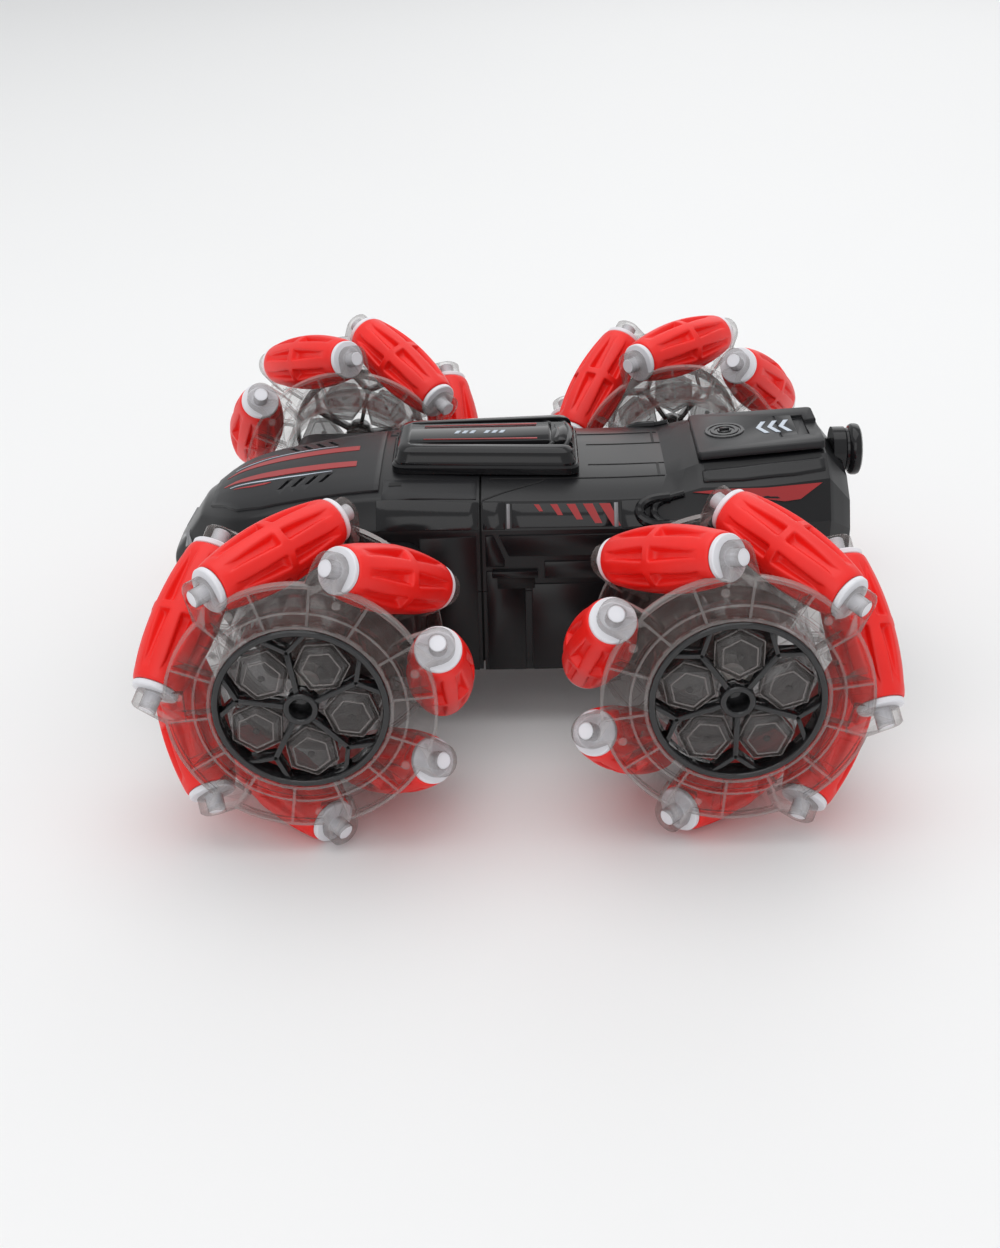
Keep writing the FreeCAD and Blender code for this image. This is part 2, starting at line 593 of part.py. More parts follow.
def make_pack():
    """Three round cells side by side under one sleeve, as one block with a lead boss."""
    low = (-size("pack_length") / 2, -size("pack_width") / 2, size("pack_base"))
    block = box("pack_block", "pack_length", "pack_width", "pack_height", low)
    boss = box("pack_lead_boss", "3", "8", "4", (size("pack_length") / 2 - 0.5, -4, size("pack_base") + 6))
    return fuse("pack_solid", [block, boss])


def make_door():
    """Battery door, flush with the belly."""
    low = (-size("door_length") / 2, -size("door_width") / 2, size("belly_height"))
    plate = box("door_plate", "door_length", "door_width", "door_thick", low)
    groove = box("door_grip", "12", "1.6", "0.8", (size("door_length") / 2 - 16, -0.8, size("belly_height")))
    return cut("door_solid", plate, groove)


def make_board():
    """Main board with its chips, and the fixed case of the power switch."""
    low = (-size("board_length") / 2, -size("board_width") / 2, size("board_height"))
    top = size("board_height") + size("board_thick")
    chip = box("main_chip", "12", "12", "2", (-6, -6, top))
    driver = box("driver_chip", "8", "6", "1.8", (12, -3, top))
    radio = box("radio_module", "14", "10", "1.6", (-24, -5, top))
    switch = box("switch_case", "14", "7", "5", (size("switch_place") - 7, -3.5, size("belly_height") + 6))
    return group("board_solids", [box("board", "board_length", "board_width", "board_thick", low),
                                  chip, driver, radio, switch])


def make_switch():
    """Sliding knob of the power switch, held behind the belly by a wider foot."""
    start = size("switch_place") - size("switch_travel") / 2 - size("switch_length") / 2
    low = size("belly_height") - 1.2
    corner = (start, -size("switch_width") / 2, low)
    knob = box("switch_knob", "switch_length", "switch_width", "switch_height", corner)
    foot_low = (start - 1, -size("switch_width") / 2 - 1.2, size("belly_height") + size("body_wall") + 0.3)
    foot = box("switch_foot", "switch_length + 2", "switch_width + 2.4", "1.0", foot_low)
    return fuse("switch_solid", [knob, foot])


def make_screws():
    """Four self-tapping screws that close the shells."""
    screws = []
    shanks = upright_posts("screw_shank", "screw_radius", "screw_seat", "screw_seat + screw_length - 0.5",
                           screw_places())
    heads = upright_posts("screw_top", "screw_head", "screw_seat - screw_head_height", "screw_seat",
                          screw_places())
    for i, (shank, head) in enumerate(zip(shanks, heads)):
        screws.append(fuse(f"screw_{i}", [shank, head]))
    return screws


# ---------------------------------------------------------------- assembly

def wheel_placement(corner, turn=0.0):
    """Wheel centre, with the wheel's Z pointing outboard and turned about it."""
    sx, sy = CORNERS[corner][:2]
    at = FreeCAD.Vector(sx * size("wheel_base") / 2, sy * size("half_track"), size("wheel_radius"))
    turns = FreeCAD.Rotation(X_AXIS, -90 * sy).multiply(FreeCAD.Rotation(Z_AXIS, turn))
    return FreeCAD.Placement(at, turns)


def wheel_turn(corner):
    """Turn about the wheel's own axis that brings its rollers to their rest phase."""
    sy, phase = CORNERS[corner][1], CORNERS[corner][3]
    return 180.0 + phase if sy > 0 else 180.0 - phase


def pinion_turn(corner):
    """Turn that puts a gap of the pinion on the tooth of the axle gear that it meets."""
    towards_pinion = 180.0 if CORNERS[corner][0] > 0 else 0.0
    past_tooth = (towards_pinion - wheel_turn(corner)) % (360.0 / size("gear_teeth"))
    ratio = size("gear_teeth") / size("pinion_teeth")
    return towards_pinion + 180.0 + 180.0 / size("pinion_teeth") + ratio * past_tooth


def node(name, parts, placement=None):
    """Finished sub-part: its label names its file."""
    obj = group(name, parts)
    obj.Label = name
    if placement:
        obj.Placement = placement
    nodes.append(obj)


def add_wheel(corner, halves, cap, axle, pinion):
    sx, hand = CORNERS[corner][0], CORNERS[corner][2]
    placed = wheel_placement(corner, wheel_turn(corner))
    for side in ("outer", "inner"):
        node(f"hub_{side}_{corner}", [halves[hand][side]], placed)
    node(f"hub_cap_{corner}", [cap], placed)
    node(f"axle_gear_{corner}", [axle], placed)
    beside = wheel_placement(corner, pinion_turn(corner))
    beside.Base.x -= sx * gear_spacing()
    node(f"motor_pinion_{corner}", [pinion], beside)
    for i in range(ROLLERS):
        place_in_wheel = roller_placement(i, hand)
        node(f"roller_{corner}_{i + 1}", [sleeve, core], placed.multiply(place_in_wheel))


def check(obj):
    """Stop if an object failed to compute or has a bad shape."""
    if {"Invalid", "Error"} & set(obj.State):
        raise RuntimeError(f"{obj.Label} failed to compute: {obj.State}")
    if obj in nodes and (obj.Shape.isNull() or not obj.Shape.isValid()):
        raise RuntimeError(f"{obj.Label} has a bad shape")


nodes = []
sleeve, core = make_sleeve(), make_core()
ear_ring = make_ear_ring()
outer_half, inner_half = make_outer_half(ear_ring), make_inner_half(ear_ring)
halves = {
    1: {"outer": outer_half, "inner": inner_half},
    -1: {"outer": mirrored("hub_outer_mirrored", outer_half, Y_AXIS),
         "inner": mirrored("hub_inner_mirrored", inner_half, Y_AXIS)},
}
cap, axle, pinion = make_cap(), make_axle(), make_pinion()
for corner in CORNERS:
    add_wheel(corner, halves, cap, axle, pinion)

motor, housings = make_motor(), {1: make_housing(1), -1: make_housing(-1)}
motors, cases = [], []
for corner, (sx, sy, _, _) in CORNERS.items():
    spot = wheel_placement(corner)
    cases.append(group(f"case_{corner}", [housings[sx]]))
    cases[-1].Placement = spot
    spot.Base.x -= sx * gear_spacing()
    motors.append(group(f"motor_{corner}", [motor]))
    motors[-1].Placement = spot

upper_shell, lower_shell = make_shells()
for name, parts in {
    "upper_shell": [upper_shell], "lower_shell": [lower_shell], "roof_pod": [make_pod()],
    "rear_deck": [make_deck()], "exhaust_tip": [make_pipe()], "drive_motors": motors,
    "gearbox_housings": cases, "battery_pack": [make_pack()], "battery_door": [make_door()],
    "circuit_board": [make_board()], "power_switch": [make_switch()], "shell_screws": make_screws(),
}.items():
    node(name, parts)

doc.recompute()
for obj in doc.Objects:
    check(obj)
os.makedirs("parts", exist_ok=True)
for obj in nodes:
    obj.Shape.exportStep(f"parts/{obj.Label}.step")
    print(obj.Label, len(obj.Shape.Solids), round(obj.Shape.Volume, 1))
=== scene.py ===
"""Looks of the mecanum stunt car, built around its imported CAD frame. Metres, +X forward, +Z up."""
import json
import math
from contextlib import contextmanager

import bmesh
import bpy
from mathutils import Matrix, Vector


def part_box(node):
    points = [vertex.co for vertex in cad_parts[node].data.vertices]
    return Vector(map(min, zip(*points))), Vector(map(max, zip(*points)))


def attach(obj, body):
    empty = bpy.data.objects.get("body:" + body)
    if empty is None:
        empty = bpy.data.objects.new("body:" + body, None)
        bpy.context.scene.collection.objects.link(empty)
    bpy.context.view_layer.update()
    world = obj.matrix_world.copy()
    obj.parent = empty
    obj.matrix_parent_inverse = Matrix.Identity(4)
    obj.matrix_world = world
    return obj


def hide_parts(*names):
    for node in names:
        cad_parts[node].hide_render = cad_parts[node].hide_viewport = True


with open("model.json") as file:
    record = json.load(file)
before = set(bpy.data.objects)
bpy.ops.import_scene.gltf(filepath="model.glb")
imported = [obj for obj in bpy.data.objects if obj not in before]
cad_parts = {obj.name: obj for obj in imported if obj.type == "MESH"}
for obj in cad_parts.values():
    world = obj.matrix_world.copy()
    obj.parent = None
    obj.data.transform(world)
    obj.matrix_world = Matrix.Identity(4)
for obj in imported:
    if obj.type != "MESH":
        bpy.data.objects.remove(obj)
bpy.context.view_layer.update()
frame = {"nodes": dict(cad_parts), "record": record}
MM = 0.001
JOINTS = {joint["name"]: joint for joint in frame["record"]["behaviour"]["joints"]}
CORNERS = ("front_left", "rear_left", "front_right", "rear_right")
ROLLERS = 7


# ------------------------------------------------------------------ mesh helpers

@contextmanager
def editing(mesh):
    """A mesh as a bmesh, written back at the end."""
    bm = bmesh.new()
    bm.from_mesh(mesh)
    yield bm
    bm.to_mesh(mesh)
    bm.free()


def new_mesh(name, points, faces, smooth=True):
    """Mesh from points in millimetres."""
    mesh = bpy.data.meshes.new(name)
    mesh.from_pydata([tuple(MM * c for c in p) for p in points], [], faces)
    mesh.validate()
    with editing(mesh) as bm:
        bmesh.ops.recalc_face_normals(bm, faces=bm.faces)
    for polygon in mesh.polygons:
        polygon.use_smooth = smooth
    return mesh


def new_object(name, mesh, material=None, matrix=None):
    """Object in the scene, with a material if its mesh has none yet."""
    obj = bpy.data.objects.new(name, mesh)
    bpy.context.scene.collection.objects.link(obj)
    if material and not mesh.materials:
        mesh.materials.append(material)
    if matrix:
        obj.matrix_world = matrix
    return obj


def baked(obj):
    """The object's mesh with its modifiers applied; the object itself goes."""
    bpy.context.view_layer.update()
    mesh = bpy.data.meshes.new_from_object(obj.evaluated_get(bpy.context.evaluated_depsgraph_get()))
    mesh.name = obj.name + "_mesh"
    bpy.data.objects.remove(obj)
    return mesh


def bevel(obj, width, segments=2, angle=30):
    """Round an object's sharp edges."""
    modifier = obj.modifiers.new("bevel", "BEVEL")
    modifier.width, modifier.segments = width * MM, segments
    modifier.limit_method, modifier.angle_limit = "ANGLE", math.radians(angle)
    modifier.harden_normals = True
    return obj


def sharp_by_angle(mesh, degrees=35):
    """Smooth shading that keeps edges sharper than an angle."""
    with editing(mesh) as bm:
        for face in bm.faces:
            face.smooth = True
        for edge in bm.edges:
            edge.smooth = edge.calc_face_angle(0) < math.radians(degrees)
    return mesh


def circle(radius, steps):
    """Points round a circle about the origin."""
    angles = [2 * math.pi * i / steps for i in range(steps)]
    return [(radius * math.cos(angle), radius * math.sin(angle)) for angle in angles]


def lathe(profile, steps):
    """Closed solid turned about Z from (radius, height) points; a radius of 0 closes on the axis."""
    points, faces, rings = [], [], []
    for radius, height in profile:
        if radius <= 1e-6:
            rings.append([len(points)] * steps)
            points.append((0, 0, height))
        else:
            rings.append(list(range(len(points), len(points) + steps)))
            points += [(x, y, height) for x, y in circle(radius, steps)]
    closed = rings[0] != [rings[0][0]] * steps
    pairs = list(zip(rings, rings[1:])) + ([(rings[-1], rings[0])] if closed else [])
    for a, b in pairs:
        for i in range(steps):
            j = (i + 1) % steps
            corners = list(dict.fromkeys((a[i], a[j], b[j], b[i])))
            if len(corners) > 2:
                faces.append(corners)
    return points, faces


def disc(radius, low, high, steps):
    return lathe([(0, low), (radius, low), (radius, high), (0, high)], steps)


def loft(rings, caps=True):
    """Solid through rings of equal point counts."""
    count = len(rings[0])
    points = [p for ring in rings for p in ring]
    faces = []
    for r in range(len(rings) - 1):
        for i in range(count):
            j = (i + 1) % count
            faces.append((r * count + i, r * count + j, (r + 1) * count + j, (r + 1) * count + i))
    if caps:
        faces += [tuple(range(count))[::-1], tuple(range(len(points) - count, len(points)))]
    return points, faces


def slab(outline, low, high):
    """Prism on a closed plan outline between two heights."""
    return loft([[(x, y, low) for x, y in outline], [(x, y, high) for x, y in outline]])


def axes_matrix(x, y, z, place):
    """Matrix with these axes at a place."""
    return Matrix.Translation(place) @ Matrix((x, y, z)).transposed().to_4x4()


def rectangle(x0, x1, y0, y1):
    return [(x0, y0), (x1, y0), (x1, y1), (x0, y1)]


def moved(shape, matrix):
    """A shape with a matrix applied to its points."""
    points, faces = shape
    return [tuple(matrix @ Vector(p)) for p in points], faces


def joined(*shapes):
    """Several shapes as one list of points and faces."""
    points, faces = [], []
    for more_points, more_faces in shapes:
        start = len(points)
        points += more_points
        faces += [tuple(start + i for i in face) for face in more_faces]
    return points, faces


def turned_about_z(shape, degrees):
    return moved(shape, Matrix.Rotation(math.radians(degrees), 4, "Z"))


def carved(base, shape, smooth=False):
    """The base object with a shape cut out of it."""
    tool = new_object("tool", new_mesh("tool", *shape, smooth=smooth))
    modifier = base.modifiers.new("boolean", "BOOLEAN")
    modifier.operation, modifier.solver, modifier.object = "DIFFERENCE", "EXACT", tool
    modifier.use_self = True
    name = base.name
    mesh = baked(base)
    bpy.data.objects.remove(tool)
    return new_object(name, mesh)


# ------------------------------------------------------------------ materials

def material(name, color, roughness, **sockets):
    """Principled material whose constant values sit on the shader's own sockets."""
    mat = bpy.data.materials.new(name)
    mat.use_nodes = True
    shader = mat.node_tree.nodes["Principled BSDF"]
    shader.inputs["Base Color"].default_value = (*color, 1)
    shader.inputs["Roughness"].default_value = roughness
    for socket, number in sockets.items():
        shader.inputs[socket.replace("_", " ")].default_value = number
    return mat


def node(mat, kind, **settings):
    """New shader node, its sockets or properties set by name."""
    item = mat.node_tree.nodes.new(kind)
    for key, setting in settings.items():
        if key in item.inputs:
            item.inputs[key].default_value = setting
        else:
            setattr(item, key, setting)
    return item


def link(mat, a, out, b, into):
    mat.node_tree.links.new(a.outputs[out], b.inputs[into])


def object_noise(mat, scale, detail=3.0):
    """Noise fixed to the object's own coordinates."""
    place = node(mat, "ShaderNodeTexCoord")
    noise = node(mat, "ShaderNodeTexNoise", Scale=scale, Detail=detail)
    link(mat, place, "Object", noise, "Vector")
    return noise


def vary(mat, source, low, high, into):
    """Drive a shader value between two limits by a noise."""
    ramp = node(mat, "ShaderNodeMapRange")
    ramp.inputs["To Min"].default_value, ramp.inputs["To Max"].default_value = low, high
    link(mat, source, "Fac", ramp, "Value")
    link(mat, ramp, "Result", mat.node_tree.nodes["Principled BSDF"], into)


def vary_color(mat, source, low, high):
    """Drive the base colour between two colours by a noise."""
    ramp = node(mat, "ShaderNodeValToRGB")
    ramp.color_ramp.elements[0].color, ramp.color_ramp.elements[1].color = (*low, 1), (*high, 1)
    ramp.color_ramp.elements[0].position, ramp.color_ramp.elements[1].position = 0.3, 0.7
    link(mat, source, "Fac", ramp, "Fac")
    link(mat, ramp, "Color", mat.node_tree.nodes["Principled BSDF"], "Base Color")


def grain(mat, scale, strength):
    """Fine moulded surface texture."""
    noise = object_noise(mat, scale, 6.0)
    bump = node(mat, "ShaderNodeBump", Strength=strength, Distance=0.00005)
    link(mat, noise, "Fac", bump, "Height")
    link(mat, bump, "Normal", mat.node_tree.nodes["Principled BSDF"], "Normal")


def red_rubber():
    mat = material("red_rubber", (0.86, 0.012, 0.008), 0.4, Specular_IOR_Level=0.45)
    coarse = object_noise(mat, 90)
    vary_color(mat, coarse, (0.8, 0.01, 0.006), (0.9, 0.014, 0.009))
    vary(mat, coarse, 0.36, 0.5, "Roughness")
    grain(mat, 2200, 0.12)
    return mat


def clear_plastic(name, color, face_alpha, edge_alpha):
    """Thin clear plastic: nearly clear face on, denser where it is seen edge on."""
    mat = material(name, color, 0.1, Specular_IOR_Level=0.55, Coat_Weight=0.2, Coat_Roughness=0.1)
    facing = node(mat, "ShaderNodeLayerWeight", Blend=0.3)
    smear = object_noise(mat, 55, 4.0)
    density = node(mat, "ShaderNodeMapRange")
    density.inputs["To Min"].default_value, density.inputs["To Max"].default_value = face_alpha, edge_alpha
    link(mat, facing, "Facing", density, "Value")
    link(mat, density, "Result", mat.node_tree.nodes["Principled BSDF"], "Alpha")
    vary(mat, smear, 0.07, 0.17, "Roughness")
    mat.use_transparency_overlap = True
    return mat


def black_plastic(name, color, roughness, scale=1500, strength=0.08):
    mat = material(name, color, roughness, Specular_IOR_Level=0.32)
    coarse = object_noise(mat, 45)
    vary(mat, coarse, roughness * 0.85, roughness * 1.2, "Roughness")
    vary_color(mat, coarse, tuple(c * 0.9 for c in color), tuple(c * 1.12 for c in color))
    grain(mat, scale, strength)
    return mat


def plain_plastic(name, color, roughness):
    mat = material(name, color, roughness, Specular_IOR_Level=0.5)
    coarse = object_noise(mat, 60)
    vary_color(mat, coarse, tuple(c * 0.94 for c in color), tuple(min(1, c * 1.03) for c in color))
    vary(mat, coarse, roughness * 0.85, roughness * 1.2, "Roughness")
    return mat


RED = red_rubber()
WHITE = plain_plastic("white_plastic", (0.78, 0.78, 0.82), 0.3)
CLEAR = clear_plastic("clear_smoke_plastic", (0.17, 0.14, 0.13), 0.055, 0.78)
# A lighter, denser copy of the clear plastic: its lighter colour is a painted highlight on the hubs' raised
# rims, ribs and ears and on the dome edges.
CLEAR_PAINTED_HIGHLIGHT = clear_plastic("clear_plastic_painted_highlight", (0.38, 0.34, 0.33), 0.28, 0.9)
DOME = clear_plastic("dark_smoke_plastic", (0.06, 0.054, 0.052), 0.42, 0.95)
CAP = clear_plastic("cap_rib_plastic", (0.012, 0.012, 0.013), 0.9, 0.99)
BODY = black_plastic("body_plastic", (0.0075, 0.0075, 0.0085), 0.3)
GLOSS = black_plastic("gloss_plastic", (0.009, 0.009, 0.01), 0.12, strength=0.02)
SATIN = black_plastic("satin_plastic", (0.011, 0.011, 0.0125), 0.4)
MATT = black_plastic("matt_plastic", (0.007, 0.007, 0.0075), 0.55, 900, 0.2)
DECAL_RED = plain_plastic("decal_red", (0.34, 0.012, 0.014), 0.35)
DECAL_PALE = plain_plastic("decal_pale", (0.5, 0.56, 0.64), 0.35)
EDGE = plain_plastic("edge_plastic", (0.2, 0.2, 0.21), 0.12)
NYLON = plain_plastic("gear_nylon", (0.78, 0.77, 0.72), 0.5)
STEEL = material("zinc_steel", (0.5, 0.5, 0.52), 0.3, Metallic=1.0)
vary(STEEL, object_noise(STEEL, 120), 0.22, 0.4, "Roughness")
BOARD = plain_plastic("solder_mask", (0.015, 0.13, 0.05), 0.35)
BATTERY = plain_plastic("battery_film", (0.02, 0.08, 0.32), 0.25)


# ------------------------------------------------------------------ rollers

# Sleeve: half its length, radius at its middle and ends, bore, and where its rounded lip starts.
SLEEVE_HALF, SLEEVE_MID, SLEEVE_END, SLEEVE_BORE, LIP_START = 21.5, 9.8, 7.05, 4.7, 20.6
# Pockets: how many round the sleeve, depth, end along it, half width and its taper as shares of a step.
POCKETS, POCKET_DEPTH, POCKET_END, POCKET_HALF, POCKET_TAPER = 8, 2.7, 18.0, 0.235, 0.11
RIB_HALF = 1.3


def barrel(s):
    """Sleeve radius at a distance from its middle: one arc through middle and ends."""
    rise = SLEEVE_MID - SLEEVE_END
    arc = (SLEEVE_HALF ** 2 + rise ** 2) / (2 * rise)
    return SLEEVE_MID - arc + math.sqrt(arc ** 2 - s ** 2)


def sleeve_shape():
    """Barrel with two rows of tapered pockets beside a plain middle rib."""
    rows = [0, 0.9, RIB_HALF, RIB_HALF + 0.35, 3.4, 5.6, 8, 10.5, 13, 15.4, POCKET_END, 19, LIP_START, 21.2,
            SLEEVE_HALF]
    rows = [-s for s in rows[:0:-1]] + rows
    step = 2 * math.pi / POCKETS
    columns = [("land", -1.0), ("land", -0.5), ("top", -1), ("floor", -0.93), ("floor", -0.5),
               ("floor", 0.5), ("floor", 0.93), ("top", 1), ("land", 0.5)]
    rings = []
    for s in rows:
        along = (abs(s) - RIB_HALF) / (POCKET_END - RIB_HALF)
        inside = RIB_HALF < abs(s) < POCKET_END
        depth = POCKET_DEPTH * (1 - along) ** 0.55 if inside else 0
        half = step * (POCKET_HALF - POCKET_TAPER * along if inside else POCKET_HALF)
        lip = max(0.0, abs(s) - LIP_START) / 0.9
        ring = []
        for pocket in range(POCKETS):
            middle = pocket * step
            for kind, t in columns:
                angle = middle + half * t
                if kind == "land":
                    edge = math.copysign(1, t)
                    angle = middle + edge * (half + (step / 2 - half) * (1 if abs(t) == 1 else 0.45))
                radius = barrel(s) - (depth if kind == "floor" else 0) - 0.35 * lip ** 2
                ring.append((radius * math.cos(angle), radius * math.sin(angle), s))
        rings.append(ring)
    count = len(rings[0])
    turn = Matrix.Rotation(math.atan2(rings[0][0][1], rings[0][0][0]), 4, "Z")
    bore = [[tuple(turn @ Vector((x, y, s))) for x, y in circle(SLEEVE_BORE, count)]
            for s in (SLEEVE_HALF, -SLEEVE_HALF)]
    points, faces = loft(rings + bore, caps=False)
    last = len(points) - count
    faces += [(last + i, last + (i + 1) % count, (i + 1) % count, i) for i in range(count)]
    return points, faces


def make_sleeve_mesh():
    """Sleeve with one level of subdivision."""
    obj = new_object("sleeve_source", new_mesh("sleeve_source", *sleeve_shape()), RED)
    obj.modifiers.new("subdivision", "SUBSURF").levels = 1
    mesh = baked(obj)
    mesh.name = "roller_sleeve"
    return sharp_by_angle(mesh, 60)


def make_core_mesh():
    """White core: a flared collar at each end and a stepped trunnion."""
    half = [(4.6, 21.5), (6.35, 21.55), (6.6, 21.8), (6.6, 22.9), (6.3, 23.25), (5.2, 23.4), (3.6, 23.6),
            (2.75, 23.7), (2.45, 23.9), (2.45, 28.05), (2.2, 28.3), (0, 28.3)]
    profile = [(r, -s) for r, s in reversed(half)] + half
    mesh = new_mesh("roller_core", *lathe(profile, 48))
    mesh.materials.append(WHITE)
    return sharp_by_angle(mesh, 40)


def roller_matrix(joint, wheel_joint):
    """Roller frame: Z along its axle, X away from the wheel's middle."""
    place = Vector(joint["pos_m"])
    along = Vector(joint["axis"]).normalized()
    out = place - Vector(wheel_joint["pos_m"])
    out = (out - along * out.dot(along)).normalized()
    return axes_matrix(out, along.cross(out), along, place)


def add_rollers(corner):
    """The seven rollers of one wheel, each a rubber sleeve on a white core."""
    wheel_joint = JOINTS[f"wheel_{corner}_spin"]
    for i in range(1, ROLLERS + 1):
        body = f"roller_{corner}_{i}"
        matrix = roller_matrix(JOINTS[f"{body}_spin"], wheel_joint)
        sleeve = new_object(f"sleeve_{corner}_{i}", SLEEVE_MESH, matrix=matrix)
        core = new_object(f"core_{corner}_{i}", CORE_MESH, matrix=matrix)
        for piece, slot in ((sleeve, "roller_rubber"), (core, "roller_core_white")):
            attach(piece, body)
        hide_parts(body)


SLEEVE_MESH, CORE_MESH = make_sleeve_mesh(), make_core_mesh()
for corner in CORNERS:
    add_rollers(corner)


# ------------------------------------------------------------------ wheel hubs and caps

AXIS_RADIUS, TILT = 37.7, math.radians(45)
DRUM_OUTER, DRUM_INNER = 24.8, 23.2
FLANGE_LOW, FLANGE_TOP, FLANGE_EDGE, LIP_TOP = 20.2, 21.3, 37.8, 22.1
EAR_RADIUS, EAR_NEAR, EAR_FAR, EAR_STEPS = 4.8, 23.85, 28.35, 20
FOOT_TURN, FOOT_NEAR, FOOT_FAR, FOOT_HALF, FOOT_LOW = 28.24, 32.5, 36.5, 4.6, 18.0
RIBS, RIB_TURN, PANEL_TURN = 14, 7.0, 19.9


def lean_matrix():
    """From a roller's own frame (Z along its axle) to the wheel's (Z outboard)."""
    return Matrix.Translation((AXIS_RADIUS, 0, 0)) @ Matrix.Rotation(-TILT, 4, "X")


def around_wheel(shape, count, start=0.0):
    return joined(*(turned_about_z(shape, start + 360 * i / count) for i in range(count)))


def hull(points):
    """Convex solid round some points."""
    bm = bmesh.new()
    for p in points:
        bm.verts.new(p)
    bmesh.ops.convex_hull(bm, input=bm.verts)
    loose = [v for v in bm.verts if not v.link_faces]
    bmesh.ops.delete(bm, geom=loose, context="VERTS")
    bmesh.ops.dissolve_limit(bm, angle_limit=math.radians(1), verts=bm.verts, edges=bm.edges)
    bm.verts.index_update()
    shape = [tuple(v.co) for v in bm.verts], [tuple(v.index for v in f.verts) for f in bm.faces]
    bm.free()
    return shape


def ear_shape():
    """Finger that rises from the flange and ends in the boss round a roller's trunnion."""
    lean, ring = lean_matrix(), circle(EAR_RADIUS, EAR_STEPS)
    boss = [lean @ Vector((x, y, s)) for s in (EAR_NEAR, EAR_FAR - 0.5) for x, y in ring]
    boss += [lean @ Vector((0.88 * x, 0.88 * y, EAR_FAR)) for x, y in ring]
    turn = Matrix.Rotation(math.radians(FOOT_TURN), 4, "Z")
    foot = [turn @ Vector((r, y, z)) for r in (FOOT_NEAR, FOOT_FAR) for y in (-FOOT_HALF, FOOT_HALF)
            for z in (FOOT_LOW, FLANGE_TOP)]
    return hull(boss + foot)


def panel_shape(inner, outer, half_angle, low, high, steps=6):
    """Ring sector slab."""
    angles = [math.radians(-half_angle + 2 * half_angle * i / steps) for i in range(steps + 1)]
    plan = [(outer * math.cos(a), outer * math.sin(a)) for a in angles]
    plan += [(inner * math.cos(a), inner * math.sin(a)) for a in reversed(angles)]
    return slab(plan, low, high)


def ring_shape(inner, outer, low, high, steps=96):
    return lathe([(inner, low), (outer, low), (outer, high), (inner, high)], steps)


def rib_shape(inner, outer, thick, low, high):
    """Upright radial rib with a sloping outer end."""
    y = thick / 2
    profile = [(inner, low), (outer - 4, low), (outer, high - 1.2), (outer, high), (inner, high)]
    points = [(r, -y, z) for r, z in profile] + [(r, y, z) for r, z in profile]
    count = len(profile)
    faces = [(i, (i + 1) % count, count + (i + 1) % count, count + i) for i in range(count)]
    return points, faces + [tuple(range(count))[::-1], tuple(range(count, 2 * count))]


def ear_ring_shape():
    """Outboard flange with its lips, ribs, raised panels, moulding pips and ears."""
    pip = disc(1.25, FLANGE_TOP, FLANGE_TOP + 0.75, 20)
    return joined(
        ring_shape(DRUM_INNER, FLANGE_EDGE, FLANGE_LOW, FLANGE_TOP),
        ring_shape(FLANGE_EDGE - 0.9, FLANGE_EDGE, FLANGE_LOW - 0.9, LIP_TOP),
        ring_shape(24.9, 25.8, FLANGE_LOW - 0.6, LIP_TOP + 0.2),
        ring_shape(29.2, 29.9, FLANGE_LOW - 0.6, FLANGE_TOP + 0.7),
        around_wheel(rib_shape(25.2, FLANGE_EDGE - 0.3, 0.8, 16.8, LIP_TOP), RIBS, RIB_TURN),
        around_wheel(panel_shape(31.2, 35.9, 7.6, FLANGE_TOP - 0.2, FLANGE_TOP + 0.45), RIBS, PANEL_TURN),
        around_wheel(moved(pip, Matrix.Translation((33.6, 0, 0))), ROLLERS, PANEL_TURN),
        around_wheel(ear_shape(), ROLLERS))


def roller_spaces():
    """Room for the seven rollers and holes for their trunnions."""
    gap = 0.35
    half = [(0, 30), (2.6, 30), (2.6, EAR_NEAR - 0.1), (6.6 + gap, EAR_NEAR - 0.1), (6.6 + gap, SLEEVE_HALF)]
    half += [(barrel(s) + gap, s) for s in (20.5, 16, 11, 5.5)]
    profile = [(r, -z) for r, z in half] + [(barrel(0) + gap, 0)] + half[::-1]
    one = moved(lathe(profile, 40), lean_matrix())
    return around_wheel(one, ROLLERS)


def hub_mesh(name, extras, turned_over=False):
    """Ear ring cut clear of the rollers, with more shapes added before the cut."""
    ring = ear_ring_shape()
    if turned_over:
        ring = moved(ring, Matrix.Rotation(math.pi, 4, "X"))
    base = new_object(name, new_mesh(name, *joined(ring, *extras)))
    cut = bevel(carved(base, roller_spaces(), smooth=True), 0.16, 2, 40)
    mesh = sharp_by_angle(baked(cut), 40)
    mesh.materials.clear()
    mesh.materials.append(CLEAR)
    mesh.materials.append(CLEAR_PAINTED_HIGHLIGHT)
    # Faces high on the flange or at its outer edge take the lighter copy of the clear plastic, a painted
    # highlight on the rims, ribs and ears.
    for face in mesh.polygons:
        height, reach = abs(face.center.z) / MM, face.center.xy.length / MM
        gets_painted_highlight = height > FLANGE_TOP + 0.5 or reach > FLANGE_EDGE - 0.2
        face.material_index = 1 if gets_painted_highlight and reach < FLANGE_EDGE + 0.3 else 0
    mesh.name = name
    return mesh


def outer_hub_mesh():
    drum = ring_shape(DRUM_INNER, DRUM_OUTER, 0.15, FLANGE_LOW + 0.3)
    web = ring_shape(5.2, DRUM_INNER + 0.3, 4.0, 5.6)
    boss = ring_shape(3.1, 6.5, 0.2, 6.4, 40)
    return hub_mesh("hub_outer", [drum, web, boss])


def inner_hub_mesh():
    drum = ring_shape(DRUM_INNER, DRUM_OUTER, -FLANGE_LOW - 0.3, -0.15)
    spoke = slab([(5, -2.4), (DRUM_INNER + 0.3, -1.8), (DRUM_INNER + 0.3, 1.8), (5, 2.4)], -21.4, -18.4)
    boss = ring_shape(3.2, 6.5, -21.5, -0.2, 40)
    return hub_mesh("hub_inner", [drum, boss, around_wheel(spoke, 5)], turned_over=True)


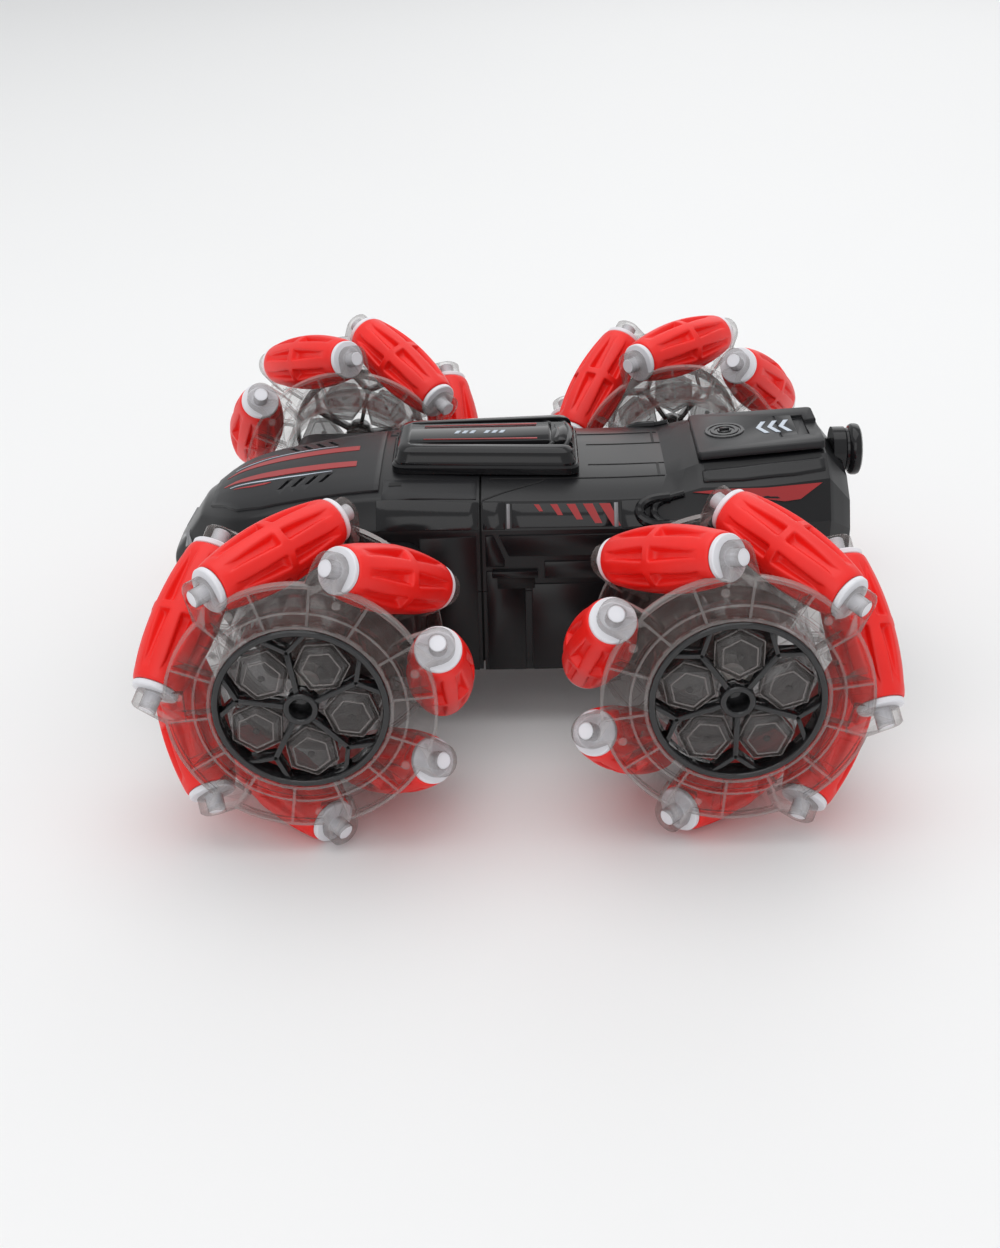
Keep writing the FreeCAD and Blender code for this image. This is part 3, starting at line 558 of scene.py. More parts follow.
def mirror_mesh(mesh):
    """The other hand: Y reversed and faces turned back outwards."""
    copy = mesh.copy()
    copy.name = mesh.name + "_mirrored"
    with editing(copy) as bm:
        for v in bm.verts:
            v.co.y = -v.co.y
        bmesh.ops.reverse_faces(bm, faces=bm.faces)
    return copy


# How far the visible caps are turned from their CAD nodes, in degrees, to stand as in the photograph.
CAP_TURNS = {"front_left": 13.0, "rear_left": -27.9}
CAP_RIM, CAP_TOP, DOME_CENTRE, DOME_RADIUS = 24.6, 22.7, 14.1, 7.9


def hexagon(radius, z):
    return [(DOME_CENTRE + radius * math.cos(math.pi * i / 3), radius * math.sin(math.pi * i / 3), z)
            for i in range(6)]


def dome_shape():
    """Hexagonal dome with sloped shoulders and a small gate mark."""
    levels = [(DOME_RADIUS, 17.0), (DOME_RADIUS, 20.4), (DOME_RADIUS - 0.35, 21.0), (DOME_RADIUS - 1.9, 22.2),
              (DOME_RADIUS - 2.5, 22.45)]
    body = loft([hexagon(radius, z) for radius, z in levels])
    gate = moved(lathe([(0, 22.2), (1.0, 22.2), (0.95, 22.75), (0.55, 22.85), (0, 22.85)], 20),
                 Matrix.Translation((DOME_CENTRE, 0, 0)))
    return joined(body, gate)


def bar_shape(start, end, width, low, high):
    """Straight bar between two plan points."""
    run = Vector(end) - Vector(start)
    side = Vector((-run.y, run.x)).normalized() * width / 2
    plan = [Vector(start) - side, Vector(end) - side, Vector(end) + side, Vector(start) + side]
    return slab([(p.x, p.y) for p in plan], low, high)


def rounded_mesh(name, shape, mat, width, segments=2, angle=40):
    obj = new_object(name, new_mesh(name, *shape), mat)
    return sharp_by_angle(baked(bevel(obj, width, segments)), angle)


def cap_rib_mesh():
    """Rim, skirt, forked spokes and centre boss."""
    fork = joined(bar_shape((4.2, 0), (17.6, 0), 1.5, 17.0, 21.9),
                  bar_shape((17.3, -0.3), (22.6, 6.6), 1.3, 17.0, 21.9),
                  bar_shape((17.3, 0.3), (22.6, -6.6), 1.3, 17.0, 21.9))
    shape = joined(lathe([(CAP_RIM - 2, 16.6), (CAP_RIM - 1.9, CAP_TOP - 0.3), (CAP_RIM - 1.5, CAP_TOP),
                          (CAP_RIM - 0.4, CAP_TOP), (CAP_RIM, CAP_TOP - 0.5), (CAP_RIM, FLANGE_TOP + 0.1),
                          (CAP_RIM - 1.7, FLANGE_TOP), (CAP_RIM - 1.7, 16.6)], 96),
                   lathe([(3.1, 17.0), (4.9, 17.0), (4.9, 22.0), (4.5, 22.4), (3.5, 22.4), (3.1, 22.0)], 40),
                   disc(3.3, 17.2, 18.2, 40),
                   around_wheel(fork, 5, 36))
    return rounded_mesh("cap_ribs", shape, CAP, 0.15)


def dome_highlight_edge_mesh():
    """Hexagonal edge moulded round the top of each dome, given a painted highlight by the lighter clear
    plastic.
    """
    outer = DOME_RADIUS - 2.3
    edge = lathe([(outer - 0.45, 22.1), (outer, 22.1), (outer, 22.62), (outer - 0.45, 22.62)], 6)
    foot = lathe([(DOME_RADIUS - 0.3, 20.4), (DOME_RADIUS + 0.1, 20.4), (DOME_RADIUS + 0.1, 20.95),
                  (DOME_RADIUS - 0.3, 20.95)], 6)
    one = moved(joined(edge, foot), Matrix.Translation((DOME_CENTRE, 0, 0)))
    return rounded_mesh("dome_highlight_edges", around_wheel(one, 5), CLEAR_PAINTED_HIGHLIGHT, 0.1)


def wheel_matrix(corner):
    """Wheel frame: Z outboard, X towards the middle of its first roller; and the rollers' hand."""
    joint, first = JOINTS[f"wheel_{corner}_spin"], JOINTS[f"roller_{corner}_1_spin"]
    centre = Vector(joint["pos_m"])
    outboard = Vector((0, math.copysign(1, centre.y), 0))
    towards = (Vector(first["pos_m"]) - centre).normalized()
    side = outboard.cross(towards)
    lean = Vector(first["axis"])
    hand = 1 if lean.dot(side) * lean.dot(outboard) > 0 else -1
    return axes_matrix(towards, side, outboard, centre), hand


def add_hub(corner):
    """Hub halves and cap of one wheel."""
    matrix, hand = wheel_matrix(corner)
    pieces = [(f"hub_shell_outer_{corner}", HUBS["outer"][hand], "smoke_clear", f"hub_outer_{corner}"),
              (f"hub_shell_inner_{corner}", HUBS["inner"][hand], "smoke_clear", f"hub_inner_{corner}"),
              (f"cap_ribs_{corner}", CAP_RIBS, "smoke_dark", f"hub_cap_{corner}"),
              (f"cap_domes_{corner}", CAP_DOMES, "smoke_dark", None),
              # The dome edges take the lighter clear plastic, a painted highlight.
              (f"cap_dome_edges_{corner}", DOME_HIGHLIGHT_EDGES, "smoke_clear", None)]
    cap_turn = Matrix.Rotation(math.radians(CAP_TURNS.get(corner, 0)), 4, "Z")
    for name, mesh, slot, cad_node in pieces:
        placed = mesh.copy()
        placed.transform(matrix @ cap_turn if name.startswith("cap") else matrix)
        piece = new_object(name, placed)
        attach(piece, f"wheel_{corner}")
        if cad_node:
            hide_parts(cad_node)


outer, inner = outer_hub_mesh(), inner_hub_mesh()
HUBS = {"outer": {1: outer, -1: mirror_mesh(outer)}, "inner": {1: inner, -1: mirror_mesh(inner)}}
CAP_RIBS, DOME_HIGHLIGHT_EDGES = cap_rib_mesh(), dome_highlight_edge_mesh()
CAP_DOMES = rounded_mesh("cap_domes", around_wheel(dome_shape(), 5), DOME, 0.35, 3, 50)
for corner in CORNERS:
    add_hub(corner)


# ------------------------------------------------------------------ body shells

# Half cross-sections of the body: place along X, then (y, z) of the middle of the roof, crown edge,
# roof line, shoulder, foot of the side band, foot of the wall, edge and middle of the belly.
STATIONS = [
    (111, [(0, 51), (4, 51), (7.5, 50.8), (9.5, 50.2), (10.5, 48.6), (10, 46.5), (8, 45.5), (0, 45.5)]),
    (101, [(0, 65.6), (5, 65.4), (9, 65), (11.8, 64.4), (19, 56), (19.5, 43), (16, 38), (0, 37)]),
    (88, [(0, 72.8), (8.7, 72.4), (18, 71), (25.5, 68.8), (31.5, 60.5), (32.5, 36), (29, 28), (0, 26)]),
    (65, [(0, 77.4), (8.7, 77.1), (18.9, 76.2), (27, 73.8), (34.6, 65.8), (36, 26), (33.5, 18.5), (0, 18.5)]),
    (40, [(0, 79.2), (8.7, 79), (18.9, 78.5), (30, 76.8), (36, 68), (36, 24), (33.5, 18.5), (0, 18.5)]),
    (11, [(0, 78.7), (8.7, 78.6), (18.9, 78.2), (31.2, 75.9), (36, 68), (36, 24), (33.5, 18.5), (0, 18.5)]),
    (-30, [(0, 78.4), (8.7, 78.3), (18.9, 78), (31.2, 75.6), (36, 68), (36, 24), (33.5, 18.5), (0, 18.5)]),
    (-47, [(0, 78.6), (8.7, 78.6), (18.9, 78.4), (30.8, 76), (36, 68.2), (36, 24), (33.5, 18.5), (0, 18.5)]),
    (-57, [(0, 82), (8.7, 82), (18.4, 81.8), (29.6, 78.4), (36.6, 69), (36, 30), (33.5, 20), (0, 20)]),
    (-76, [(0, 83.6), (8.7, 83.6), (20, 82.6), (30.2, 78.8), (37.2, 69), (35, 36), (31, 26), (0, 25)]),
    (-96.5, [(0, 84.8), (8.7, 84.8), (17.2, 84.2), (26.5, 79.4), (33, 68), (30, 47), (26, 40), (0, 38)]),
    (-104, [(0, 76), (8.7, 76), (14.5, 75), (22, 70), (25.5, 62), (25, 50), (22, 45), (0, 44)]),
]
SHARP_STATIONS = (111.0, 101.0, -47.0, -57.0, -96.5, -104.0)
SPLIT_X, SPLIT_GAP, SPLIT_Z, SEAM_HALF, WALL = 11.0, 0.35, 47.5, 0.12, 1.6


def section(x):
    """Half cross-section at x: a cubic through the stations, with kinks kept at the sharp ones."""
    x = max(min(x, STATIONS[0][0]), STATIONS[-1][0])
    i = next(k for k in range(len(STATIONS) - 1) if STATIONS[k + 1][0] <= x)
    (xa, a), (xb, b) = STATIONS[i], STATIONS[i + 1]
    t = (xa - x) / (xa - xb)

    def slope(k, other):
        if STATIONS[k][0] in SHARP_STATIONS:
            return other
        (xp, before), (xn, after) = STATIONS[k - 1], STATIONS[k + 1]
        return [((q[0] - p[0]) / (xp - xn), (q[1] - p[1]) / (xp - xn)) for p, q in zip(before, after)]

    chord = [((q[0] - p[0]) / (xa - xb), (q[1] - p[1]) / (xa - xb)) for p, q in zip(a, b)]
    ma, mb, run = slope(i, chord), slope(i + 1, chord), xa - xb
    h00, h10 = 2 * t ** 3 - 3 * t ** 2 + 1, (t ** 3 - 2 * t ** 2 + t) * run
    h01, h11 = 3 * t ** 2 - 2 * t ** 3, (t ** 3 - t ** 2) * run
    return [tuple(h00 * p[c] + h10 * m[c] + h01 * q[c] + h11 * n[c] for c in (0, 1))
            for p, q, m, n in zip(a, b, ma, mb)]


def roof_height(x, y):
    """Height of the skin above a plan point."""
    half = section(x)[:5]
    for (ya, za), (yb, zb) in zip(half, half[1:]):
        if abs(y) <= yb:
            return za + (zb - za) * (abs(y) - ya) / (yb - ya)
    return half[-1][1]


def band_point(x, along, out=0.0):
    """Point on the side band: along runs from its top edge, 0, to its foot, 1."""
    (ya, za), (yb, zb) = section(x)[3:5]
    return (x, ya + (yb - ya) * along + out * 0.85, za + (zb - za) * along + out * 0.53)


def spread(start, end, step=3.0):
    """Even places from start to end, about a step apart."""
    count = max(1, round(abs(end - start) / step))
    return [start + (end - start) * i / count for i in range(count + 1)]


def body_rings(start, end):
    """Full cross-sections from one x to another, with the stations among them."""
    between_ends = {x for x, _ in STATIONS if end < x < start}
    places = sorted({start, end, *between_ends, *spread(start, end)}, reverse=True)
    kept = [x for x in places if x in dict(STATIONS) or x in (start, end)
            or min(abs(x - s) for s, _ in STATIONS) > 0.8]
    return [[(x, y, z) for y, z in section(x)] + [(x, -y, z) for y, z in section(x)[-2:0:-1]] for x in kept]


def shell_piece(name, start, end, above, closed):
    """Hollow part of the body between two x, above or below the split height, closed at its front or rear."""
    rings = body_rings(start, end)
    points, faces = loft(rings, caps=False)
    count = len(rings[0])
    if closed == "front":
        faces.append(tuple(range(count)))
    else:
        faces.append(tuple(range(len(points) - count, len(points)))[::-1])
    mesh = new_mesh(name, points, faces)
    height = SPLIT_Z + (SEAM_HALF if above else -SEAM_HALF)
    with editing(mesh) as bm:
        bmesh.ops.bisect_plane(bm, geom=bm.verts[:] + bm.edges[:] + bm.faces[:], plane_co=(0, 0, height * MM),
                               plane_no=(0, 0, -1 if above else 1), clear_outer=True)
    obj = new_object(name, mesh)
    soft = obj.modifiers.new("soften", "BEVEL")
    soft.width, soft.segments, soft.limit_method, soft.angle_limit = 1.1 * MM, 3, "ANGLE", math.radians(14)
    wall = obj.modifiers.new("wall", "SOLIDIFY")
    wall.thickness, wall.offset, wall.use_even_offset = WALL * MM, -1, True
    return obj


SIDES = (("left", 1), ("right", -1))


def finish_piece(obj, mat, *replaced, slot=None, angle=35):
    """Apply modifiers, shade, colour, and attach a piece to the chassis."""
    name = obj.name
    mesh = sharp_by_angle(baked(obj), angle)
    mesh.materials.clear()
    mesh.materials.append(mat)
    piece = new_object(name, mesh)
    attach(piece, "chassis")
    for cad_node in replaced:
        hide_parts(cad_node)
    return piece


def add_piece(name, shape, mat, *replaced, width=0, angle=35):
    """Chassis piece from a shape in millimetres, with its edges rounded if a width is given."""
    obj = new_object(name, new_mesh(name, *shape))
    if width:
        bevel(obj, width)
    return finish_piece(obj, mat, *replaced, angle=angle)


def box_mm(node_name):
    low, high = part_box(node_name)
    return [c / MM for c in (*low, *high)]


def opening(node_name, before, after, beside, low, high):
    """Cutter over a CAD node's plan, wider by a margin before, after and beside it."""
    x0, y0, _, x1, y1, _ = box_mm(node_name)
    return slab(rectangle(x0 - before, x1 + after, y0 - beside, y1 + beside), low, high)


SCREW_EDGE, SCREW_HOLE = 2.8, 3.0
LINER_SCALE, LINER_HEIGHT = 0.93, 48


def add_shells():
    """Front and rear halves of the upper and lower shell, with the belly's door, slot and screw holes."""
    halves = (("front", STATIONS[0][0], SPLIT_X + SPLIT_GAP, ["upper_shell"], ["lower_shell"]),
              ("rear", SPLIT_X - SPLIT_GAP, STATIONS[-1][0], [], []))
    for end, start, stop, upper, _ in halves:
        finish_piece(shell_piece(f"upper_{end}", start, stop, True, end), BODY, *upper, angle=28)
    x0, y0, _, x1, y1, _ = box_mm("shell_screws")
    hole = disc(SCREW_HOLE, 10, 32, 24)
    holes = [moved(hole, Matrix.Translation((x, y, 0))) for x in (x0 + SCREW_EDGE, x1 - SCREW_EDGE)
             for y in (y0 + SCREW_EDGE, y1 - SCREW_EDGE)]
    cutter = joined(opening("battery_door", 0.3, 0.3, 0.3, 15, 22),
                    opening("power_switch", -0.6, 3.4, -0.8, 15, 24), *holes)
    for end, start, stop, _, lower in halves:
        shell = carved(shell_piece(f"lower_{end}", start, stop, False, end), cutter)
        finish_piece(shell, BODY, *lower, angle=28)
    liner = [[(x, y * LINER_SCALE, LINER_HEIGHT + (z - LINER_HEIGHT) * LINER_SCALE) for x, y, z in ring]
             for ring in body_rings(24, 0)]
    add_piece("seam_liner", loft(liner), MATT)


def skin_patch(name, edges, lift, thick, across, step=2.0):
    """Panel that follows the roof; edges is its front x, rear x and the function of its y limits at an x."""
    start, end, limits = edges
    places = spread(start, end, step)
    rings = []
    for height in (lift, lift - thick):
        for x in places:
            a, b = limits(x)
            rings.append([(x, a + (b - a) * i / across, roof_height(x, a + (b - a) * i / across) + height)
                          for i in range(across + 1)])
    n, cols = len(places), across + 1
    points = [p for ring in rings for p in ring]
    faces = []
    for layer in (0, 1):
        for r in range(n - 1):
            for c in range(across):
                k = (layer * n + r) * cols + c
                faces.append((k, k + 1, k + cols + 1, k + cols))
    edge = [r * cols for r in range(n)] + [(n - 1) * cols + c for c in range(1, cols)]
    edge += [r * cols + across for r in range(n - 2, -1, -1)] + list(range(across - 1, 0, -1))
    for i, a in enumerate(edge):
        b = edge[(i + 1) % len(edge)]
        faces.append((a, b, b + n * cols, a + n * cols))
    return new_object(name, new_mesh(name, points, faces))


def between(table):
    """Edges for skin_patch: y limits that run straight between (x, y, y) rows, front first."""
    def limits(x):
        for (xa, a1, a2), (xb, b1, b2) in zip(table, table[1:]):
            if xb - 1e-6 <= x <= xa + 1e-6:
                t = (xa - x) / (xa - xb)
                return a1 + (b1 - a1) * t, a2 + (b2 - a2) * t
        return table[-1][1:] if x < table[-1][0] else table[0][1:]
    return table[0][0], table[-1][0], limits


def add_patches(patches, lift, thick, across, step=2.0, width=0):
    """Panels on both sides of the roof, each with its material and its rows of y limits."""
    for name, (mat, rows) in patches.items():
        for tag, side in SIDES:
            edges = between([(x, side * a, side * b) for x, a, b in rows])
            patch = skin_patch(f"{name}_{tag}", edges, lift, thick, across, step)
            finish_piece(bevel(patch, width) if width else patch, mat)


HOOD = [(97.5, 10.5), (93, 15.5), (88, 21.8), (80, 24.2), (65, 24.6), (50, 25.4), (42.5, 25.6)]
STRIPES = {
    "stripe_red": (DECAL_RED, [(94, 3.4, 3.9), (86, 3.5, 6.6), (76, 3.9, 8.2), (64, 4.4, 8.6),
                               (50.5, 4.8, 8.8)]),
    "stripe_pale": (DECAL_PALE, [(91.5, 7, 7.4), (80, 9.6, 10.2), (68, 10.4, 11), (58, 10.6, 10.8)]),
    "dash_red": (DECAL_RED, [(90, 9.3, 9.5), (84, 10.9, 11.8), (79, 11.3, 12.3), (77.5, 11.6, 11.8)]),
}
LOUVRES, LOUVRE_X, LOUVRE_STEP, LOUVRE_NEAR, LOUVRE_FAR = 4, 70.5, 4.3, 12.2, 17.6


def add_hood():
    """Inset hood with slanted louvres."""
    hood = skin_patch("hood_panel", between([(x, -y, y) for x, y in HOOD]), 0.75, 1.6, 14)
    cuts = []
    for i in range(LOUVRES):
        for _, side in SIDES:
            x = LOUVRE_X - LOUVRE_STEP * i
            near, far = LOUVRE_NEAR * side, LOUVRE_FAR * side
            cuts.append(slab([(x, near), (x + 1.5, near), (x + 4.4, far), (x + 2.9, far)], 60, 95))
    finish_piece(bevel(carved(hood, joined(*cuts)), 0.35, 2, 50), SATIN, angle=40)


def on_side(side, points):
    """Points of the left side as they are, or mirrored to the right."""
    return [(x, side * y, z) for x, y, z in points]


def strip(x0, x1, top, foot, out, thick, side):
    """Bar along the side band between two x."""
    corners = ((top, out), (foot, out), (foot, out - thick), (top, out - thick))
    return loft([on_side(side, [band_point(x, *corner) for corner in corners]) for x in spread(x0, x1)])


# Each skin of the side band: its material, its runs along x, and its top, foot, height and thickness.
BAND = {
    "band_front": (GLOSS, [(43, SPLIT_X + 0.6)], (0.04, 0.97, 0.5, 1.0)),
    "band_rear": (GLOSS, [(SPLIT_X - 0.6, 3.4), (-32.2, -41.5)], (0.04, 0.97, 0.5, 1.0)),
    "band_panel": (GLOSS, [(1.4, -29.4)], (0.08, 0.92, 0.25, 0.8)),
    "band_edges": (EDGE, [(3.0, 1.9), (-29.9, -31.2)], (0.1, 0.95, 0.9, 1.4)),
}
BARS = [(0.36, 1.6), (0.5, 2.2), (0.66, 2.7), (0.8, 3.0), (0.9, 3.3)]
BAR_X, BAR_STEP, BAR_LEAN, BAR_TOP = -5.4, 5.0, 4.6, 0.12


def add_band():
    """Glossy side bands with a framed panel of slanted red bars on each side."""
    for tag, side in SIDES:
        for name, (mat, runs, profile) in BAND.items():
            shape = joined(*(strip(*run, *profile, side) for run in runs))
            add_piece(f"{name}_{tag}", shape, mat, width=0.2, angle=40)
        bars = []
        for i, (foot, width) in enumerate(BARS):
            x, lean = BAR_X - BAR_STEP * i, BAR_LEAN * foot
            quad = [(x, BAR_TOP), (x - lean, foot), (x - lean - width * 0.72, foot), (x - width, BAR_TOP)]
            faces = [[band_point(*place, out) for place in quad] for out in (0.36, 0.1)]
            bars.append(loft([on_side(side, face) for face in faces]))
        add_piece(f"bars_red_{tag}", joined(*bars), DECAL_RED)


# Moulded lines behind the pod, and the creases that run up from the shells' split.
ROOF_LINES = {
    "roof_line_inner": (MATT, [(-23, 8.5, 9), (-47, 8.5, 9)]),
    "roof_line_outer": (MATT, [(8, 18.8, 19.3), (-46.5, 18.6, 19.1)]),
    "roof_crease": (MATT, [(10.4, 30.4, 31.2), (4, 26.4, 27), (-8, 20.4, 20.9), (-9, 19.6, 20.1)]),
    "roof_step": (MATT, [(-44.4, 8.9, 18.7), (-45.2, 8.9, 18.7)]),
}
SHOULDER_PANEL = {"shoulder_panel": (SATIN, [(41.4, 19.8, 30.2), (38, 19.8, 30.6), (12.2, 19.8, 30.4)])}
SHOULDER_SLOT = {"shoulder_slot": (MATT, [(39.4, 21.5, 23.5), (35.5, 21.5, 23.5)])}


WALL_Y = 36
# Raised panels of the flat side wall: how far they stand out, and their (x, z) outline.
WALL_PANELS = [
    (0.7, [(5.5, 66.5), (2.5, 59.5), (-31, 59.5), (-37, 66.5)]),
    (0.7, [(9.6, 66.5), (7.2, 66.5), (3.8, 58.2), (3.8, 56.0), (9.6, 56.0)]),
    (0.5, [(9.6, 54.5), (9.6, 20), (-2.4, 20), (-2.4, 49), (2.5, 54.5)]),
    (1.6, [(7.8, 54.8), (7.8, 52.6), (-6.4, 52.6), (-6.4, 54.8)]),
    (0.6, [(-8.4, 57.6), (-8.4, 51.8), (-34, 51.8), (-34, 57.6)]),
    (0.5, [(-4.4, 50.0), (-4.4, 20), (-34, 20), (-34, 50.0)]),
    (0.4, [(30, 66.0), (12.4, 66.4), (12.4, 20), (30, 20)]),
]
WALL_SLOT = [(6.2, 52.4), (6.2, 48.6), (-5.4, 48.6), (-5.4, 52.4)]


def wall_panel(plan, out, side, root=-0.8):
    """Raised panel on the flat side wall from (x, z) points."""
    return loft([[(x, side * (WALL_Y + depth), z) for x, z in plan] for depth in (root, out)])


def add_walls():
    """Creased panels, a ledge and a dark slot on the flat walls between the wheels."""
    for tag, side in SIDES:
        panels = joined(*(wall_panel(plan, out, side) for out, plan in WALL_PANELS))
        add_piece(f"wall_panels_{tag}", panels, BODY, width=0.3, angle=40)
        add_piece(f"wall_slot_{tag}", wall_panel(WALL_SLOT, 0.62, side, -0.78), MATT, width=0.1)


add_shells()
add_hood()
add_patches(STRIPES, 0.87, 0.3, 3)
add_patches(ROOF_LINES, 0.14, 0.6, 2, 1.5)
add_patches(SHOULDER_PANEL, 0.35, 0.9, 4, width=0.25)
add_patches(SHOULDER_SLOT, 0.5, 0.8, 2)
add_band()
add_walls()


# ------------------------------------------------------------------ pod, deck, tail and gear cases

def rounded_plan(corners, radius, steps=5):
    """Plan outline with rounded corners; corners run round the outline."""
    points = []
    for i, (x, y) in enumerate(corners):
        (xp, yp), (xn, yn) = corners[i - 1], corners[(i + 1) % len(corners)]
        before, after = Vector((xp - x, yp - y)).normalized(), Vector((xn - x, yn - y)).normalized()
        start, end = Vector((x, y)) + before * radius, Vector((x, y)) + after * radius
        for k in range(steps + 1):
            t = k / steps
            bend = start * (1 - t) ** 2 + Vector((x, y)) * 2 * t * (1 - t) + end * t ** 2
            points.append((bend.x, bend.y))
    return points


def wedge(start, end, height=12):
    """Cutter whose rectangle goes from (x, y low, y high, z) at one end to the other."""
    return loft([[(x, low, z), (x, high, z), (x, high, z + height), (x, low, z + height)]
                 for x, low, high, z in (start, end)])


def tube(points, radius, sides=10, rounds=3):
    """Rounded bar along a smooth path through points."""
    path = [Vector(p) for p in points]
    for _ in range(rounds):
        finer = [path[0]]
        for a, b in zip(path, path[1:]):
            finer += [a.lerp(b, 0.25), a.lerp(b, 0.75)]
        path = finer + [path[-1]]
    rings = []
    for i, point in enumerate(path):
        along = (path[min(i + 1, len(path) - 1)] - path[max(i - 1, 0)]).normalized()
        side = along.cross(Vector((0, 0.3, 1))).normalized()
        up = side.cross(along)
        rings.append([tuple(point + radius * (math.cos(a) * side + math.sin(a) * up))
                      for a in (2 * math.pi * k / sides for k in range(sides))])
    return loft(rings)


def layers(plan, levels):
    """Solid through (height, inset) levels of a plan that takes an inset."""
    return loft([[(x, y, z) for x, y in plan(inset)] for z, inset in levels])


def add_pod():
    """Roof pod: bevelled block on a wider skirt, two deepening channels and curved ridges at its rear."""
    x0, _, z0, x1, half, z1 = box_mm("roof_pod")
    narrow = half * 0.8

    def plan(inset, radius=4.5):
        return rounded_plan([(x1 - inset, narrow - inset), (x0 + inset, half - inset),
                             (x0 + inset, inset - half), (x1 - inset, inset - narrow)], radius)

    block = layers(plan, [(z0 + 0.5, 0.9), (z0 + 3.6, 0.9), (z0 + 4.6, 1.5), (z1 - 1.4, 2.0), (z1 - 0.5, 2.9),
                          (z1 - 0.15, 4.4)])
    channels = [wedge((x1 - 6, s * 8.6 - 0.7, s * 8.6 + 0.7, z1 - 0.3),
                      (x0 - 2, s * 10.4 - 2.2, s * 10.4 + 2.2, z1 - 2.8)) for _, s in SIDES]
    groove = wedge((x0 + 9.2, -11.5, 11.5, z1 - 0.8), (x0 + 8.4, -11.5, 11.5, z1 - 0.8))
    block = carved(new_object("pod_block", new_mesh("pod_block", *block)), joined(*channels, groove))
    finish_piece(bevel(block, 0.35, 2, 40), GLOSS, "roof_pod", angle=32)
    skirt = [(z0, 0.4), (z0 + 0.3, 0.0), (z0 + 2.3, 0.0), (z0 + 3.0, 0.5), (z0 + 3.1, 1.6)]
    add_piece("pod_skirt", layers(plan, skirt), GLOSS)
    ridges = []
    for reach, bow in ((2.4, 0.6), (6.2, 1)):
        ridge = [(x0 + reach + 5.5 * (y / 14) ** 2 * bow, y, z1 - 0.9 - 1.4 * (abs(y) / 14) ** 3)
                 for y in (-13.5, -9, -4.5, 0, 4.5, 9, 13.5)]
        ridges.append(tube(ridge, 0.95))
    add_piece("pod_ridges", joined(*ridges), GLOSS)
    ends = ((x1 - 10, 5.9, 0.12), (x0 + 13, 6.5, 0.42))
    low, high = z1 - 0.12, z1 - 0.12 + 0.2
    lines = [loft([on_side(s, [(x, y + w, low), (x, y - w, low), (x, y - w, high), (x, y + w, high)])
                   for x, y, w in ends]) for _, s in SIDES]
    add_piece("pod_pinstripe", joined(*lines), DECAL_RED)
    marks = [slab([(x, -1.1), (x + 1.3, -1.1), (x + 2.2, 1.1), (x + 0.9, 1.1)], z1 - 0.3, z1 + 0.05)
             for x in (3.0, 5.4, 7.8, 12.4, 14.8, 17.2)]
    add_piece("pod_mark", joined(*marks), DECAL_PALE)
    add_piece("pod_plinth", slab(plan(3, 3), z0 - 2.2, z0 + 0.6), MATT)


def deck_matrix():
    """Place of the sloping deck plate: x runs back from its front edge, z out of its face."""
    x0, _, z0, x1, _, _ = box_mm("rear_deck")
    slope = math.atan2(2.8, x1 - x0)
    return Matrix.Translation((x1, 0, z0 + 2.0)) @ Matrix.Rotation(slope, 4, "Y")


FILLER_CAP = [(0, -0.4), (6.4, -0.4), (6.4, 0.75), (6.1, 1.0), (5.3, 1.0), (5.1, 0.7), (4.6, 0.7),
              (4.4, 1.05), (3.3, 1.05), (3.1, 0.75), (2.3, 0.75), (2.1, 1.15), (0, 1.2)]
DECK_RAIL = {
    "deck_rail": (BODY, [(-57.6, 22.6, 27.4), (-70, 22.2, 27.8), (-86, 20.8, 26), (-95.6, 19.4, 23.8)]),
}
DECK_CHANNEL = {
    "deck_channel": (MATT, [(-58.4, 18.6, 22.5), (-70, 18.4, 22.1), (-86, 17.6, 20.7), (-95, 16.8, 19.3)]),
}


def add_deck():
    """Deck plate with a hooked notch at its rear, a filler cap, a printed mark and side rails."""
    x0, _, _, x1, half, _ = box_mm("rear_deck")
    length, place = x1 - x0 - 0.3, deck_matrix()
    plan = rounded_plan([(0, half - 0.6), (-length, half - 2.2), (-length, 2.2 - half), (0, 0.6 - half)], 1.8)
    plate = loft([[(x, y * 1.03, -1.6) for x, y in plan], [(x, y, 0.1) for x, y in plan],
                  [(x * 0.99 - 0.2, y * 0.97, 0.6) for x, y in plan]])
    cuts = ((-2, 7.5, 4.6, -0.5), (4.0, 7.5, 8.6, -0.5), (12.6, 13.2, 9.5, 0.2))
    notch = joined(*(slab(rectangle(-length + a, -length + b, -wide, wide), low, 3)
                     for a, b, wide, low in cuts))
    body = carved(new_object("deck_plate", new_mesh("deck_plate", *moved(plate, place))), moved(notch, place))
    finish_piece(bevel(body, 0.3, 2, 40), SATIN, "rear_deck", angle=32)
    cap_place = place @ Matrix.Translation((-10, 0, 0))
    add_piece("filler_cap", moved(lathe(FILLER_CAP, 48), cap_place), GLOSS)
    grip = slab(rectangle(-11.6, -8.4, -0.5, 0.5), 1.0, 1.7)
    add_piece("filler_grip", moved(grip, place), GLOSS, width=0.2)
    marks = [slab([(x, 0), (x - 1.5, 0), (x - 3.7, s * 5), (x - 2.2, s * 5)], 0.5, 0.72)
             for x in (-20.0, -23.6, -27.2) for _, s in SIDES]
    add_piece("deck_mark", moved(joined(*marks), place), DECAL_PALE)
    add_patches(DECK_RAIL, 0.9, 1.8, 4, width=0.4)
    add_patches(DECK_CHANNEL, 0.12, 0.6, 3)


# Both outlines run along the side band, as x and the share of the way down it.
LIP = [(-47.0, 0.02), (-41.0, 0.06), (-37.5, 0.3), (-38.0, 0.7), (-42.0, 0.93), (-50.0, 0.96)]
KITE = [(-54.0, 0.06), (-64, 0.05), (-76, 0.055), (-94.0, 0.08), (-87.0, 0.42), (-82, 0.44), (-70, 0.27)]


